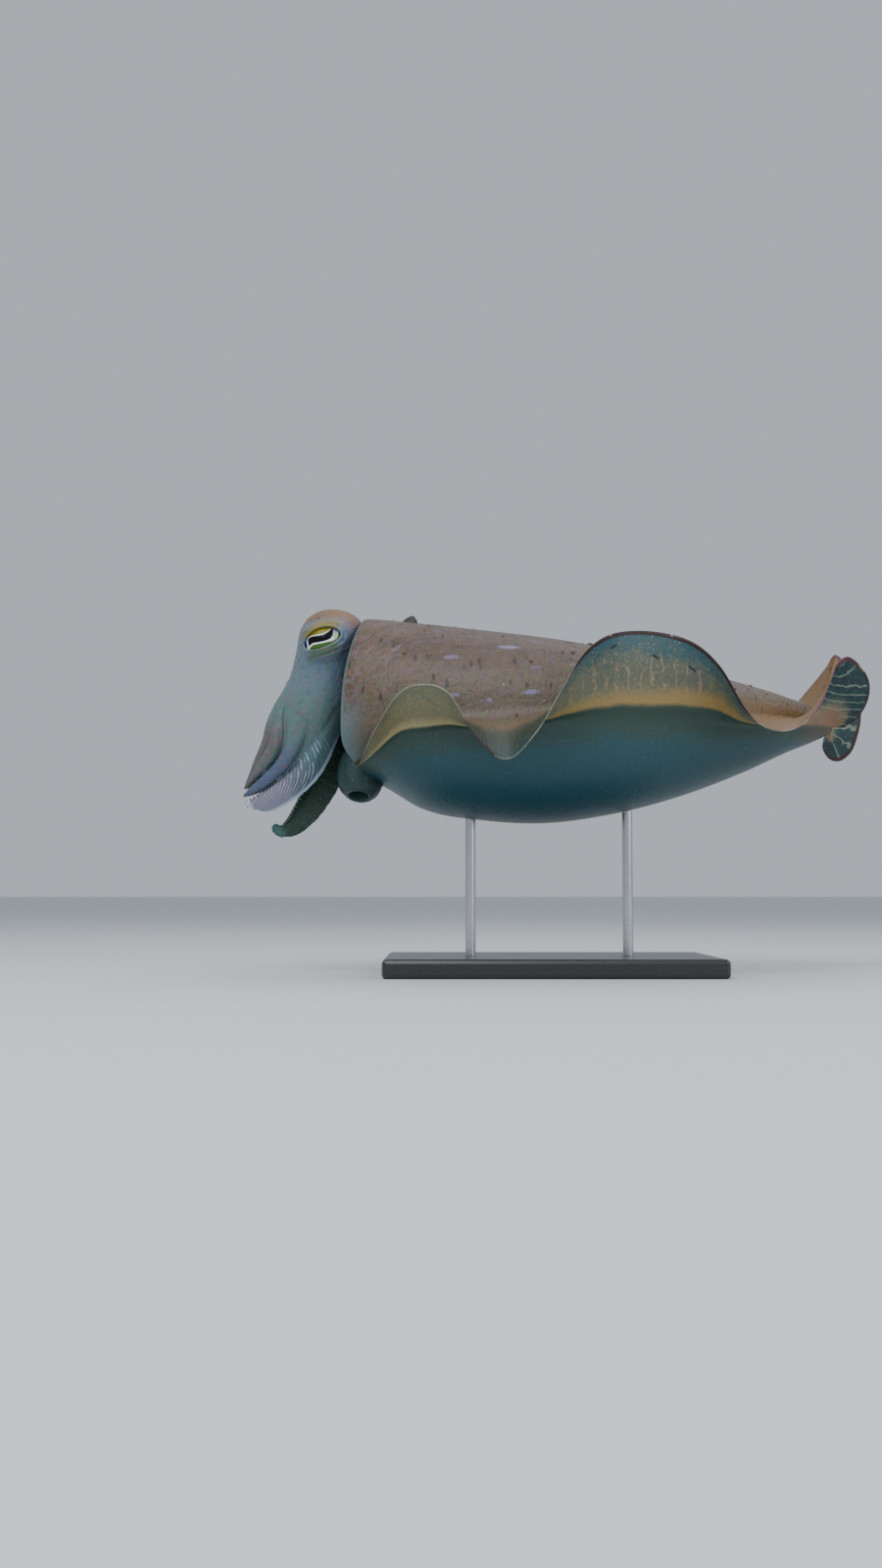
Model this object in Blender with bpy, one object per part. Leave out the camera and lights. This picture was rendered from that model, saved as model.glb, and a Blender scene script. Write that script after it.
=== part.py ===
"""Life-size display model of a broadclub cuttlefish swimming, held by two rods on a flat base.

The animal faces -X, its tail fins point to +X, and its left side faces -Y. The origin is the middle
of the base's underside. Sizes below are in millimetres and become metres when a mesh is made.
"""

import math

import bmesh
import bpy
import numpy as np

MM = 0.001
GAP = 0.3
LEFT, RIGHT = -1, 1

# Mantle: each line is a list of (place along X, value) stations.
TAIL_X = 217.0
BACK_LINE = [(-160, 270), (-141, 271), (-97, 267), (-45, 261), (15, 253), (75, 240), (141, 223), (180, 212), (205, 202), (217, 192)]
BELLY_LINE = [(-160, 152), (-131, 145), (-97, 126), (-50, 117), (0, 115), (45, 121), (90, 132), (150, 154), (185, 170), (205, 178), (217, 184)]
SIDE_LINE = [(-160, 186), (-60, 186), (40, 188), (217, 188)]
HALF_WIDTH = [(-160, 65), (-120, 76), (-80, 84), (-30, 88), (20, 86), (70, 77), (110, 65), (150, 47), (180, 31), (200, 18), (212, 9), (217, 5)]
BACK_SQUARENESS = 2.3
BELLY_SQUARENESS = 2.05
LIP_SIDE_X = -156.0
LIP_BACK_SETBACK = 15.0
LIP_BELLY_SETBACK = 26.0
LIP_THICKNESS = 6.0
CAVITY_FLOOR_X = -112.0
MANTLE_ROWS = 31
MANTLE_COLUMNS = 32

# Papillae on the back: place along X, angle round the mantle from its left side, radius, height.
PAPILLAE = [(-106, 85, 5.5, 6.5), (-96, 104, 4.0, 3.0), (30, 78, 3.0, 2.0), (36, 102, 3.0, 2.0)]

# Fins: one row for each ray, as place of its root along X, rise of the ray above level in degrees,
# its sweep towards the tail in degrees, and its length.
FIN_ROOT_ANGLE = [(-143, -50), (-130, -28), (-118, -13), (-90, -5), (-50, -2), (0, 0), (217, 0)]
FRONT_RAYS = [(-143, -30, -10, 6), (-133, 6, -5, 24), (-118, 34, 0, 36), (-98, 40, 0, 43), (-78, 22, 0, 47)]
LEFT_RAYS = FRONT_RAYS + [
    (-60, -16, 0, 50), (-38, -38, 0, 52), (-18, -18, 0, 52), (0, 14, 0, 54), (20, 48, 0, 57), (42, 70, 0, 60),
    (65, 75, 0, 61), (90, 64, 0, 59), (112, 35, 0, 56), (130, 2, 0, 52), (146, -13, 3, 48), (163, -13, 7, 47),
    (178, 4, 11, 48), (190, 34, 16, 51), (199, 56, 25, 54), (207, 63, 46, 57), (212.5, 45, 58, 46),
    (216, 20, 62, 22), (217, 2, 62, 8),
]
RIGHT_RAYS = FRONT_RAYS + [
    (-60, -14, 0, 50), (-38, -32, 0, 52), (-18, -14, 0, 52), (0, 14, 0, 54), (20, 42, 0, 57), (42, 58, 0, 60),
    (65, 62, 0, 61), (90, 50, 0, 59), (112, 26, 0, 56), (130, 4, 0, 52), (146, -8, 3, 49), (163, -4, 10, 49),
    (177, 14, 20, 51), (187, 36, 33, 59), (195, 50, 45, 71), (202, 58, 53, 75), (207, 38, 60, 59),
    (210.5, -2, 62, 40), (213, -32, 58, 34), (215, -54, 44, 30), (216.3, -62, 14, 25), (217, -62, -30, 15),
]
FIN_ROOT_THICKNESS = 7.0
FIN_EDGE_THICKNESS = 1.2
FIN_STATIONS = 63
FIN_STEPS = 6
FIN_CUTS = (0, 19, 40, 63)
FIN_LENGTH_NAMES = ("front", "middle", "rear")

# Head and arms share one bent spine, measured in millimetres from the top of the head.
SPINE_X = [(0, -157), (28.6, -162.3), (60.6, -171), (92, -183), (122.5, -199), (147.3, -217), (174.1, -239.1)]
SPINE_Z = [(0, 278), (28.6, 250), (60.6, 219), (92, 190), (122.5, 164), (147.3, 147), (174.1, 131.8)]
HALF_DEPTH_FRONT = [(20, 30), (28, 30), (45, 29), (61, 29), (92, 32), (107, 31), (122, 27), (147, 17), (160, 10), (172, 4)]
HALF_DEPTH_REAR = [(20, 25), (28, 25), (61, 27), (92, 28), (122, 31), (147, 28), (160, 24), (168, 16), (173, 8)]
HALF_BREADTH = [(28, 46), (45, 43), (61, 38), (92, 33), (122, 26), (147, 16), (160, 10), (171, 4)]
SQUARENESS = [(0, 2.4), (30, 2.8), (61, 2.0)]
HEAD_DOME = 28.0
CROWN = 61.0
HEAD_COLUMNS = 28

EYE_CENTRE = (-169.5, 38.0, 248.0)
EYE_RADIUS = 15.5
EYE_MOUND_HEIGHT = 5.0
EYE_MOUND_SPREAD = 16.0
LID_RADIUS_LONG = 14.0
LID_RADIUS_TALL = 11.5
LID_THICKNESS = 2.4
LID_TILT = 20.0

# Neck: each row is X, Y, Z of its middle, half breadth and half height, from inside the mantle forwards.
NECK = [
    (-112.3, 0, 227, 46, 29), (-126, 0, 229, 45, 27), (-139, 0, 234, 42, 24), (-151, 0, 237, 37, 19),
    (-160, 0, 239, 28, 14),
]

# Arms of the closed crown: middle angle round the spine from the front, half angle, inner radius, end.
ARM_ANGLES = {1: (19.5, 16.5, 0.45, 163), 2: (54.5, 16.5, 0.45, 166), 3: (90.5, 16.5, 0.42, 169), 4: (143.0, 34.0, 0.50, 172.5)}
# The front pair of arms on each side spring from the front of the crown and spread to this angle lower down.
FRONT_ARMS_ANGLE = 73.0
FRONT_ARMS_SPREAD = [(61, 0.66), (98, 0.76), (120, 1.0), (170, 1.0)]
KEEL_ANGLE = 109.0
ARM_SPLIT = 108.0
ARM_TIP_TAPER = 26.0
ARM_POINTS = 12
KEEL_THINNING = 0.36

# The right ventral arm hangs free and curls at its tip: each row is X, Y, Z, half breadth, half thickness.
HANGING_ROOT = (140.0, 0.76)
HANGING_ARM = [
    (-157, 18.5, 213.4, 10, 8), (-160, 19, 196, 11, 7.5), (-163, 18, 176, 12, 7), (-169, 17, 157, 12.5, 6.5),
    (-177, 15, 140, 12, 6), (-186, 13, 125, 10.5, 5.5), (-195, 12, 114, 8, 5), (-203, 12, 109.5, 5.5, 4.2),
    (-209, 12, 110.5, 4, 3.4), (-212, 12, 114.5, 2.6, 2.4),
]
HANGING_CUTS = (0.0, 0.42, 0.74, 1.0)

SUCKER_PITCH = 8.5
SUCKER_RADIUS = 2.6
SUCKER_SIDES = 5

# Funnel: each row is X, Y, Z of its middle, half breadth and half height.
FUNNEL = [
    (-112.3, 0, 172, 36, 14), (-126, -1, 171, 31, 14), (-138, -4, 167, 24, 13.5), (-146, -8, 157, 18.5, 14.5),
    (-147.5, -13, 145.5, 16, 13.5), (-146, -19, 134.5, 12, 11.5),
]
# The hollow of the funnel: the middle of each ring and its share of the last ring's size.
FUNNEL_MOUTH = [(-145.5, -19.1, 134.3, 0.72), (-145.6, -16.5, 139, 0.58), (-145.3, -11, 149, 0.4)]
FUNNEL_COLUMNS = 20

BASE_SIZE = (250.0, 150.0, 14.0)
BASE_EDGE = 3.0
ROD_RADIUS = 4.0
ROD_PLACES = (-60.0, 60.0)
ROD_SIDES = 20

COLOURS = {
    "mantle": (0.33, 0.22, 0.15), "head": (0.36, 0.36, 0.32), "arm": (0.33, 0.30, 0.30), "fin": (0.42, 0.34, 0.16),
    "funnel": (0.16, 0.20, 0.17), "eye": (0.30, 0.29, 0.06), "base": (0.05, 0.05, 0.055), "rod": (0.55, 0.55, 0.56),
}


def profile(stations):
    """A smooth curve through (place, value) stations, as a function of place."""
    places, values = np.array(stations, float).T
    slopes = np.gradient(values, places)

    def value(place):
        place = np.clip(place, places[0], places[-1])
        i = np.clip(np.searchsorted(places, place) - 1, 0, len(places) - 2)
        step = places[i + 1] - places[i]
        t = (place - places[i]) / step
        rise = (2 * t**3 - 3 * t**2 + 1) * values[i] + (3 * t**2 - 2 * t**3) * values[i + 1]
        return rise + step * ((t**3 - 2 * t**2 + t) * slopes[i] + (t**3 - t**2) * slopes[i + 1])

    return value


back_z = profile(BACK_LINE)
belly_z = profile(BELLY_LINE)
side_z = profile(SIDE_LINE)
half_width = profile(HALF_WIDTH)
spine_x = profile(SPINE_X)
spine_z = profile(SPINE_Z)
depth_front = profile(HALF_DEPTH_FRONT)
depth_rear = profile(HALF_DEPTH_REAR)
breadth = profile(HALF_BREADTH)
squareness_at = profile(SQUARENESS)
front_spread = profile(FRONT_ARMS_SPREAD)
root_angle = profile(FIN_ROOT_ANGLE)


def rounded(value, squareness):
    """Bends a sine or cosine so that the oval that it draws is squarer."""
    return math.copysign(abs(value) ** (2 / squareness), value)


def mantle_point(x, angle, side=LEFT, inset=0.0):
    """A point of the mantle's section at x, at an angle from its side, upwards in degrees."""
    a = math.radians(angle)
    up = math.sin(a) > 0
    squareness = BACK_SQUARENESS if up else BELLY_SQUARENESS
    rise = (back_z(x) - side_z(x) if up else side_z(x) - belly_z(x)) - inset
    y = side * (half_width(x) - inset) * rounded(math.cos(a), squareness)
    return np.array((x, y, side_z(x) + rise * rounded(math.sin(a), squareness)))


def lip_x(angle):
    """Where the mantle's front edge lies at an angle round it."""
    s = math.sin(math.radians(angle))
    return LIP_SIDE_X + (LIP_BACK_SETBACK * s**2 if s > 0 else LIP_BELLY_SETBACK * s**4)


def material(name):
    """A plain finish in one of the animal's or the stand's colours."""
    made = bpy.data.materials.get(name)
    if made is None:
        made = bpy.data.materials.new(name)
        made.use_nodes = True
        shader = made.node_tree.nodes["Principled BSDF"]
        shader.inputs["Base Color"].default_value = (*COLOURS[name], 1)
        shader.inputs["Roughness"].default_value = 0.25 if name == "eye" else 0.45
        shader.inputs["Metallic"].default_value = 1.0 if name == "rod" else 0.0
    return made


def make_object(name, points, faces, finish):
    """An object from points in millimetres and faces, with its faces turned outwards."""
    mesh = bpy.data.meshes.new(name)
    mesh.from_pydata([tuple(MM * float(c) for c in p) for p in points], [], faces)
    shape = bmesh.new()
    shape.from_mesh(mesh)
    bmesh.ops.recalc_face_normals(shape, faces=shape.faces)
    shape.to_mesh(mesh)
    shape.free()
    mesh.shade_smooth()
    mesh.materials.append(material(finish))
    made = bpy.data.objects.new(name, mesh)
    bpy.context.scene.collection.objects.link(made)
    return made


def loft(name, rings, finish):
    """A closed body through rings of equal count, capped with a fan at each end."""
    count = len(rings[0])
    points = [p for ring in rings for p in ring]
    faces = []
    for i in range(len(rings) - 1):
        for j in range(count):
            k = (j + 1) % count
            faces.append((i * count + j, i * count + k, (i + 1) * count + k, (i + 1) * count + j))
    for ring, start in ((rings[0], 0), (rings[-1], (len(rings) - 1) * count)):
        middle = len(points)
        points.append(np.mean(ring, axis=0))
        faces += [(start + j, start + (j + 1) % count, middle) for j in range(count)]
    return make_object(name, points, faces, finish)


def tube_rings(rows, columns, first_direction=None):
    """Rings along a path of (X, Y, Z, half breadth, half height) rows, with breadth across the animal."""
    rows = np.array(rows, float)
    path = rows[:, :3]
    tangents = np.gradient(path, axis=0)
    if first_direction is not None:
        tangents[0] = first_direction
    rings = []
    for centre, tangent, (wide, high) in zip(path, tangents, rows[:, 3:5]):
        tangent = tangent / np.linalg.norm(tangent)
        across = np.array((0, 1, 0)) - tangent[1] * tangent
        across /= np.linalg.norm(across)
        over = np.cross(tangent, across)
        turns = np.linspace(0, 2 * math.pi, columns, endpoint=False)
        rings.append([centre + wide * math.cos(t) * across + high * math.sin(t) * over for t in turns])
    return rings


def join(body, pieces, operation="UNION", solver="EXACT"):
    """Joins pieces to a body, or cuts them from it, and keeps the body's largest closed surface."""
    group = bpy.data.collections.new(body.name + "_pieces")
    for piece in pieces:
        bpy.context.scene.collection.objects.unlink(piece)
        group.objects.link(piece)
    boolean = body.modifiers.new(operation.lower(), "BOOLEAN")
    boolean.operation = operation
    boolean.operand_type = "COLLECTION"
    boolean.collection = group
    boolean.solver = solver
    bpy.context.view_layer.update()
    joined = bpy.data.meshes.new_from_object(body.evaluated_get(bpy.context.evaluated_depsgraph_get()))
    body.modifiers.clear()
    finish = body.data.materials[0]
    body.data = joined
    joined.materials.clear()
    joined.materials.append(finish)
    for piece in pieces:
        bpy.data.objects.remove(piece)
    bpy.data.collections.remove(group)
    keep_largest(joined)
    return body


def keep_largest(mesh):
    """Removes every loose shell of a mesh but the one with the most faces."""
    shape = bmesh.new()
    shape.from_mesh(mesh)
    unseen = set(shape.verts)
    shells = []
    while unseen:
        front = [unseen.pop()]
        shell = list(front)
        while front:
            vertex = front.pop()
            near = {e.other_vert(vertex) for e in vertex.link_edges} & unseen
            unseen -= near
            front += near
            shell += near
        shells.append(shell)
    shells.sort(key=lambda shell: sum(len(v.link_faces) for v in shell))
    for shell in shells[:-1]:
        bmesh.ops.delete(shape, geom=shell, context="VERTS")
    shape.to_mesh(mesh)
    shape.free()


def build_mantle():
    """The mantle: an oval sack with an open front, turned in at its lip, and papillae on its back."""
    turns = np.linspace(0, 360, MANTLE_COLUMNS, endpoint=False)
    wall = 2 + LIP_THICKNESS

    def ring(place, inset):
        return [mantle_point(place(t), t, inset=inset) for t in turns]

    rings = [
        ring(lambda t: CAVITY_FLOOR_X, wall),
        ring(lambda t: lip_x(t) + 6, LIP_THICKNESS),
        ring(lambda t: lip_x(t) + 1, LIP_THICKNESS - 2),
        ring(lambda t: lip_x(t), LIP_THICKNESS / 2),
    ]
    for share in np.linspace(0, 1, MANTLE_ROWS):
        eased = 0.65 * share + 0.35 * (0.5 - 0.5 * math.cos(math.pi * share))
        rings.append(ring(lambda t: lip_x(t) + 2 + (TAIL_X - lip_x(t) - 2) * eased, 0))
    mantle = loft("mantle", rings, "mantle")
    join(mantle, [papilla(*row) for row in PAPILLAE])


def papilla(x, angle, radius, height):
    """A blunt cone of skin, sunk into the back and leaning to the tail."""
    foot = mantle_point(x, angle)
    inner = mantle_point(x, angle, inset=height)
    out = (foot - inner) / np.linalg.norm(foot - inner)
    lean = np.array((0.35, 0, 0))
    rows = [(-1.2, 1.0), (0.1, 0.9), (0.6, 0.6), (1.0, 0.25)]
    rings = []
    for level, share in rows:
        centre = foot + level * height * (out + max(level, 0) * lean)
        turns = np.linspace(0, 2 * math.pi, 8, endpoint=False)
        side = np.cross(out, (1, 0, 0))
        along = np.cross(side, out)
        rings.append([centre + radius * share * (math.cos(t) * side + math.sin(t) * along) for t in turns])
    return loft("papilla", rings, "mantle")


def fin_grid(rays, side):
    """Upper and lower points of a fin at each station and step from root to edge."""
    rays = np.array(rays, float)
    index = np.arange(len(rays))
    x_of, rise_of, sweep_of, length_of = (profile(np.column_stack((index, column))) for column in rays.T)
    upper, lower = [], []
    for place in np.linspace(0, len(rays) - 1, FIN_STATIONS + 1):
        x = x_of(place)
        angle = root_angle(x)
        foot = mantle_point(x, angle, side)
        tangent = mantle_point(x, angle + 2, side) - mantle_point(x, angle - 2, side)
        tangent /= np.linalg.norm(tangent)
        out = np.array((0, side * tangent[2], -side * tangent[1]))
        rise, sweep, length = math.radians(rise_of(place)), math.radians(sweep_of(place)), length_of(place)
        level = np.array((math.sin(sweep), side * math.cos(sweep), 0))
        slender = min(1.0, half_width(x) / 36) * min(1.0, 0.1 + length / 28)
        edge = FIN_EDGE_THICKNESS * min(1.0, 0.5 + length / 50)
        point = foot + GAP * out
        upper.append([])
        lower.append([])
        for step in range(FIN_STEPS + 1):
            share = step / FIN_STEPS
            bend = rise * (0.7 + 0.6 * share)
            ray = math.cos(bend) * level + math.sin(bend) * np.array((0, 0, 1.0))
            over = math.cos(bend) * np.array((0, 0, 1.0)) - math.sin(bend) * level if step else tangent
            half = 0.5 * (edge + (FIN_ROOT_THICKNESS - FIN_EDGE_THICKNESS) * slender * (1 - share) ** 2)
            upper[-1].append(point + half * over)
            lower[-1].append(point - half * over)
            point = point + length / FIN_STEPS * ray
    return np.array(upper), np.array(lower)


def fin_piece(name, upper, lower):
    """One length of a fin, with the triangles of its two faces split alike."""
    stations, steps = upper.shape[:2]
    points = np.concatenate((upper.reshape(-1, 3), lower.reshape(-1, 3)))
    under = stations * steps

    def at(station, step, base=0):
        return base + station * steps + step

    faces = []
    for i in range(stations - 1):
        for base in (0, under):
            for j in range(steps - 1):
                a, b = at(i, j, base), at(i, j + 1, base)
                c, d = at(i + 1, j + 1, base), at(i + 1, j, base)
                faces += [(a, b, c), (a, c, d)]
        for j in (0, steps - 1):
            a, b, c, d = at(i, j), at(i + 1, j), at(i + 1, j, under), at(i, j, under)
            faces += [(a, b, c), (a, c, d)]
    for i in (0, stations - 1):
        for j in range(steps - 1):
            faces.append((at(i, j), at(i, j + 1), at(i, j + 1, under), at(i, j, under)))
    return make_object(name, points, faces, "fin")


def build_fins():
    """Both fins, each in three lengths with a hair's gap between them."""
    for side, rays, word in ((LEFT, LEFT_RAYS, "left"), (RIGHT, RIGHT_RAYS, "right")):
        upper, lower = fin_grid(rays, side)
        for first, last, length in zip(FIN_CUTS, FIN_CUTS[1:], FIN_LENGTH_NAMES):
            top, bottom = upper[first:last + 1].copy(), lower[first:last + 1].copy()
            if first:
                for grid in (top, bottom):
                    step = grid[1] - grid[0]
                    grid[0] += GAP * step / np.linalg.norm(step, axis=1, keepdims=True)
            fin_piece(f"fin_{word}_{length}", top, bottom)


def spine_frame(place):
    """Middle, front and along directions of the spine at a place."""
    middle = np.array((spine_x(place), 0, spine_z(place)))
    along = np.array((spine_x(place + 0.5) - spine_x(place - 0.5), 0, spine_z(place + 0.5) - spine_z(place - 0.5)))
    along /= np.linalg.norm(along)
    return middle, np.array((along[2], 0, -along[0])), along


def crown_point(place, angle, radius, side=LEFT):
    """A point round the spine, at an angle from its front towards a side, with radius 1 on the outline."""
    middle, front, _ = spine_frame(place)
    a = math.radians(angle)
    square = squareness_at(place) if angle < 90 or angle > 270 else 2.0
    depth = depth_front(place) * math.cos(a / 2) ** 2 + depth_rear(place) * math.sin(a / 2) ** 2
    forwards, sideways = depth * rounded(math.cos(a), square), breadth(place) * rounded(math.sin(a), square)
    return middle + radius * (forwards * front + side * sideways * np.array((0, 1, 0)))


def head_ring(place):
    """One section of the head, raised into a mound at each eye."""
    size = math.sqrt(max(0.0, 1 - max(0.0, 1 - place / HEAD_DOME) ** 2))
    full = max(place, HEAD_DOME)
    ring = []
    for turn in np.linspace(0, 360, HEAD_COLUMNS, endpoint=False):
        point = spine_frame(place)[0] + size * (crown_point(full, turn, 1) - spine_frame(full)[0])
        reach = math.hypot(point[0] - EYE_CENTRE[0], point[2] - EYE_CENTRE[2])
        lift = EYE_MOUND_HEIGHT * math.exp(-(reach / EYE_MOUND_SPREAD) ** 2)
        point[1] += math.copysign(lift * min(1, abs(point[1]) / 20), point[1])
        ring.append(point)
    return ring


def eye_frame(side):
    """The long, tall and outward directions of an eye, tilted up to the rear."""
    tilt = math.radians(LID_TILT)
    out = np.array((-0.1, side * 0.985, 0.1))
    out /= np.linalg.norm(out)
    long = np.array((math.cos(tilt), 0, math.sin(tilt)))
    long -= out * (long @ out)
    long /= np.linalg.norm(long)
    return long, np.cross(out, long) * -side, out


def sphere(name, side, radius, finish, segments=20):
    """An eyeball, or the socket that is cut for it."""
    mesh = bpy.data.meshes.new(name)
    shape = bmesh.new()
    bmesh.ops.create_uvsphere(shape, u_segments=segments, v_segments=segments // 2, radius=radius * MM)
    x, y, z = EYE_CENTRE
    bmesh.ops.translate(shape, verts=shape.verts, vec=(x * MM, side * y * MM, z * MM))
    shape.to_mesh(mesh)
    shape.free()
    mesh.shade_smooth()
    mesh.materials.append(material(finish))
    made = bpy.data.objects.new(name, mesh)
    bpy.context.scene.collection.objects.link(made)
    return made


def lid(side):
    """A ring of skin round one eye."""
    long, tall, out = eye_frame(side)
    centre = np.array((EYE_CENTRE[0], side * EYE_CENTRE[1], EYE_CENTRE[2]))
    rings = []
    for turn in np.linspace(0, 2 * math.pi, 20, endpoint=False):
        reach = LID_RADIUS_LONG * math.cos(turn) * long + LID_RADIUS_TALL * math.sin(turn) * tall
        outward = reach / np.linalg.norm(reach)
        middle = centre + reach + math.sqrt((EYE_RADIUS + 0.8) ** 2 - reach @ reach) * out
        spots = np.linspace(0, 2 * math.pi, 5, endpoint=False)
        rings.append([middle + LID_THICKNESS * (math.cos(s) * outward + math.sin(s) * out) for s in spots])
    count = len(rings[0])
    points = [p for ring in rings for p in ring]
    faces = []
    for i in range(len(rings)):
        n = (i + 1) % len(rings)
        for j in range(count):
            k = (j + 1) % count
            faces.append((i * count + j, i * count + k, n * count + k, n * count + j))
    return make_object("lid", points, faces, "head")


def build_head():
    """The head with its eye mounds and lids, the neck that runs into the mantle, and both eyes."""
    places = [HEAD_DOME * (1 - math.cos(math.radians(b))) for b in (12, 26, 40, 54, 68, 80)]
    places += list(np.linspace(HEAD_DOME, CROWN, 7))
    head = loft("head", [head_ring(p) for p in places], "head")
    neck = loft("neck", tube_rings(NECK, 24, (-1, 0, 0)), "head")
    join(head, [neck] + [lid(side) for side in (LEFT, RIGHT)])
    join(head, [sphere("socket", side, EYE_RADIUS + GAP, "eye") for side in (LEFT, RIGHT)], "DIFFERENCE")
    for side, word in ((LEFT, "left"), (RIGHT, "right")):
        sphere(f"eye_{word}", side, EYE_RADIUS, "eye")


def leaned(place, angle):
    """The true angle of an arm's point, with the front arms drawn together near the crown."""
    knee = FRONT_ARMS_ANGLE * front_spread(place)
    return float(np.interp(angle, (0, FRONT_ARMS_ANGLE, KEEL_ANGLE, 180), (0, knee, KEEL_ANGLE, 180)))


def arm_taper(end, place):
    """The share of an arm's full breadth that it keeps at a place near its tip."""
    left = min(1.0, max(0.0, (end - place) / ARM_TIP_TAPER))
    return math.sqrt(1 - (1 - left) ** 2)


def arm_ring(arm, side, place):
    """One section of an arm of the closed crown, as a petal between its neighbours."""
    middle_angle, half_angle, inner, end = ARM_ANGLES[arm]
    taper = arm_taper(end, place)
    ring = []
    for turn in np.linspace(0, 2 * math.pi, ARM_POINTS, endpoint=False):
        across = rounded(math.cos(turn), 2.6)
        angle = middle_angle + half_angle * taper * across
        floor = inner
        if arm == 4:
            floor += KEEL_THINNING * (0.5 + 0.5 * across) ** 1.5
        centre = (1 + floor) / 2
        radius = centre + (1 - floor) / 2 * taper * rounded(math.sin(turn), 2.6)
        ring.append(crown_point(place, leaned(place, angle), radius, side))
    return ring


def sucker(point, inward, along, radius):
    """A low cup on a short stalk, sunk into the arm."""
    side = np.cross(inward, along)
    side /= np.linalg.norm(side)
    over = np.cross(side, inward)
    rings = []
    for level, share in ((-0.8, 0.7), (0.9, 1.0), (0.5, 0.45)):
        turns = np.linspace(0, 2 * math.pi, SUCKER_SIDES, endpoint=False)
        centre = point + level * radius * inward
        rings.append([centre + radius * share * (math.cos(t) * side + math.sin(t) * over) for t in turns])
    return loft("sucker", rings, "arm")


def build_crown_arms():
    """The seven arms that lie together, each in a root and a tip length with suckers inside."""
    for side, word in ((LEFT, "left"), (RIGHT, "right")):
        for arm in ARM_ANGLES:
            if arm == 4 and side == RIGHT:
                continue
            middle_angle, half_angle, inner, end = ARM_ANGLES[arm]
            lengths = (("root", CROWN + GAP, ARM_SPLIT - GAP / 2, 6), ("tip", ARM_SPLIT + GAP / 2, end - 0.2, 10))
            for length, first, last, rows in lengths:
                if length == "root":
                    places = np.linspace(first, last, rows)
                else:
                    places = last - (last - first) * (1 - np.linspace(0, 1, rows)) ** 1.4
                body = loft(f"arm_{arm}_{word}_{length}", [arm_ring(arm, side, p) for p in places], "arm")
                join(body, crown_suckers(arm, side, first, last))


def crown_suckers(arm, side, first, last):
    """Suckers in zigzag along the inner face of one length of a crown arm, sized to its width."""
    middle_angle, half_angle, inner, end = ARM_ANGLES[arm]
    made, place, row = [], first + 4, 1
    while place < min(last - 3, end - 8):
        taper = arm_taper(end, place)
        edge = crown_point(place, leaned(place, middle_angle + half_angle * taper), inner, side)
        width = np.linalg.norm(edge - crown_point(place, leaned(place, middle_angle), inner, side))
        size = min(SUCKER_RADIUS, 0.5 * width)
        shift = row * half_angle * taper * max(0.0, 1 - (size + 0.8) / width)
        point = crown_point(place, leaned(place, middle_angle + shift), inner + 0.02, side)
        middle, _, along = spine_frame(place)
        made.append(sucker(point, (middle - point) / np.linalg.norm(middle - point), along, size))
        place += SUCKER_PITCH * (0.35 + 0.65 * size / SUCKER_RADIUS)
        row = -row
    return made


def hanging_row(share):
    """X, Y, Z, half breadth and half thickness of the hanging arm at a share of its length."""
    rows = np.array(HANGING_ARM, float)
    index = np.arange(len(rows))
    return np.array([profile(np.column_stack((index, column)))(share * (len(rows) - 1)) for column in rows.T])


def hanging_frame(share):
    """Middle, along, broad and flat directions of the hanging arm, which leaves the crown square to it."""
    along = hanging_row(min(share + 0.01, 1))[:3] - hanging_row(max(share - 0.01, 0))[:3]
    along /= np.linalg.norm(along)
    middle = hanging_row(share)[:3]
    turned = min(1.0, share / 0.12)
    root = crown_point(CROWN + GAP, *HANGING_ROOT, RIGHT)
    middle = root + (middle - root) * turned if share < 0.12 else middle
    along = (1 - turned) * spine_frame(CROWN)[2] + turned * along
    along /= np.linalg.norm(along)
    flat = np.array((0, 1.0, 0))
    flat -= along * (flat @ along)
    flat /= np.linalg.norm(flat)
    return middle, along, np.cross(flat, along), flat


def build_hanging_arm():
    """The right ventral arm in three lengths, with suckers on its front edge."""
    for first, last, length in zip(HANGING_CUTS, HANGING_CUTS[1:], ("root", "middle", "tip")):
        rings = []
        for share in np.linspace(first + (0.0015 if first else 0), last - (0.0015 if last < 1 else 0), 8):
            middle, along, broad, flat = hanging_frame(share)
            wide, thick = hanging_row(share)[3:]
            turns = np.linspace(0, 2 * math.pi, 14, endpoint=False)
            rings.append([
                middle + wide * math.cos(t) * broad
                + thick * rounded(math.sin(t), 1.8) * (0.62 + 0.38 * math.cos(t)) * flat for t in turns
            ])
        body = loft(f"arm_4_right_{length}", rings, "arm")
        join(body, hanging_suckers(first, last))


def hanging_suckers(first, last):
    """Suckers in zigzag along the front edge of one length of the hanging arm."""
    made, row = [], 1
    for share in np.arange(first + 0.04, min(last - 0.015, 0.95), 0.055):
        middle, along, broad, flat = hanging_frame(share)
        wide, thick = hanging_row(share)[3:]
        size = SUCKER_RADIUS * min(1, 0.3 + (1 - share) * 1.4)
        turn = math.radians(26 * row)
        point = middle + wide * math.cos(turn) * broad + thick * math.sin(turn) * flat
        outward = broad + 0.35 * row * flat
        made.append(sucker(point, outward / np.linalg.norm(outward), along, size))
        row = -row
    return made


def build_funnel():
    """The funnel: a short bent tube under the head, open at its mouth."""
    rings = tube_rings(FUNNEL, FUNNEL_COLUMNS, (-1, 0, 0))
    lip = rings[-1]
    middle = np.mean(lip, axis=0)
    for x, y, z, share in FUNNEL_MOUTH:
        rings.append([np.array((x, y, z)) + share * (point - middle) for point in lip])
    loft("funnel", rings, "funnel")


def belly_under(x, y):
    """The height of the belly above the base at a place."""
    share = min(1.0, abs(y) / half_width(x))
    angle = math.acos(share ** (BELLY_SQUARENESS / 2))
    return mantle_point(x, -math.degrees(angle))[2]


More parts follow.
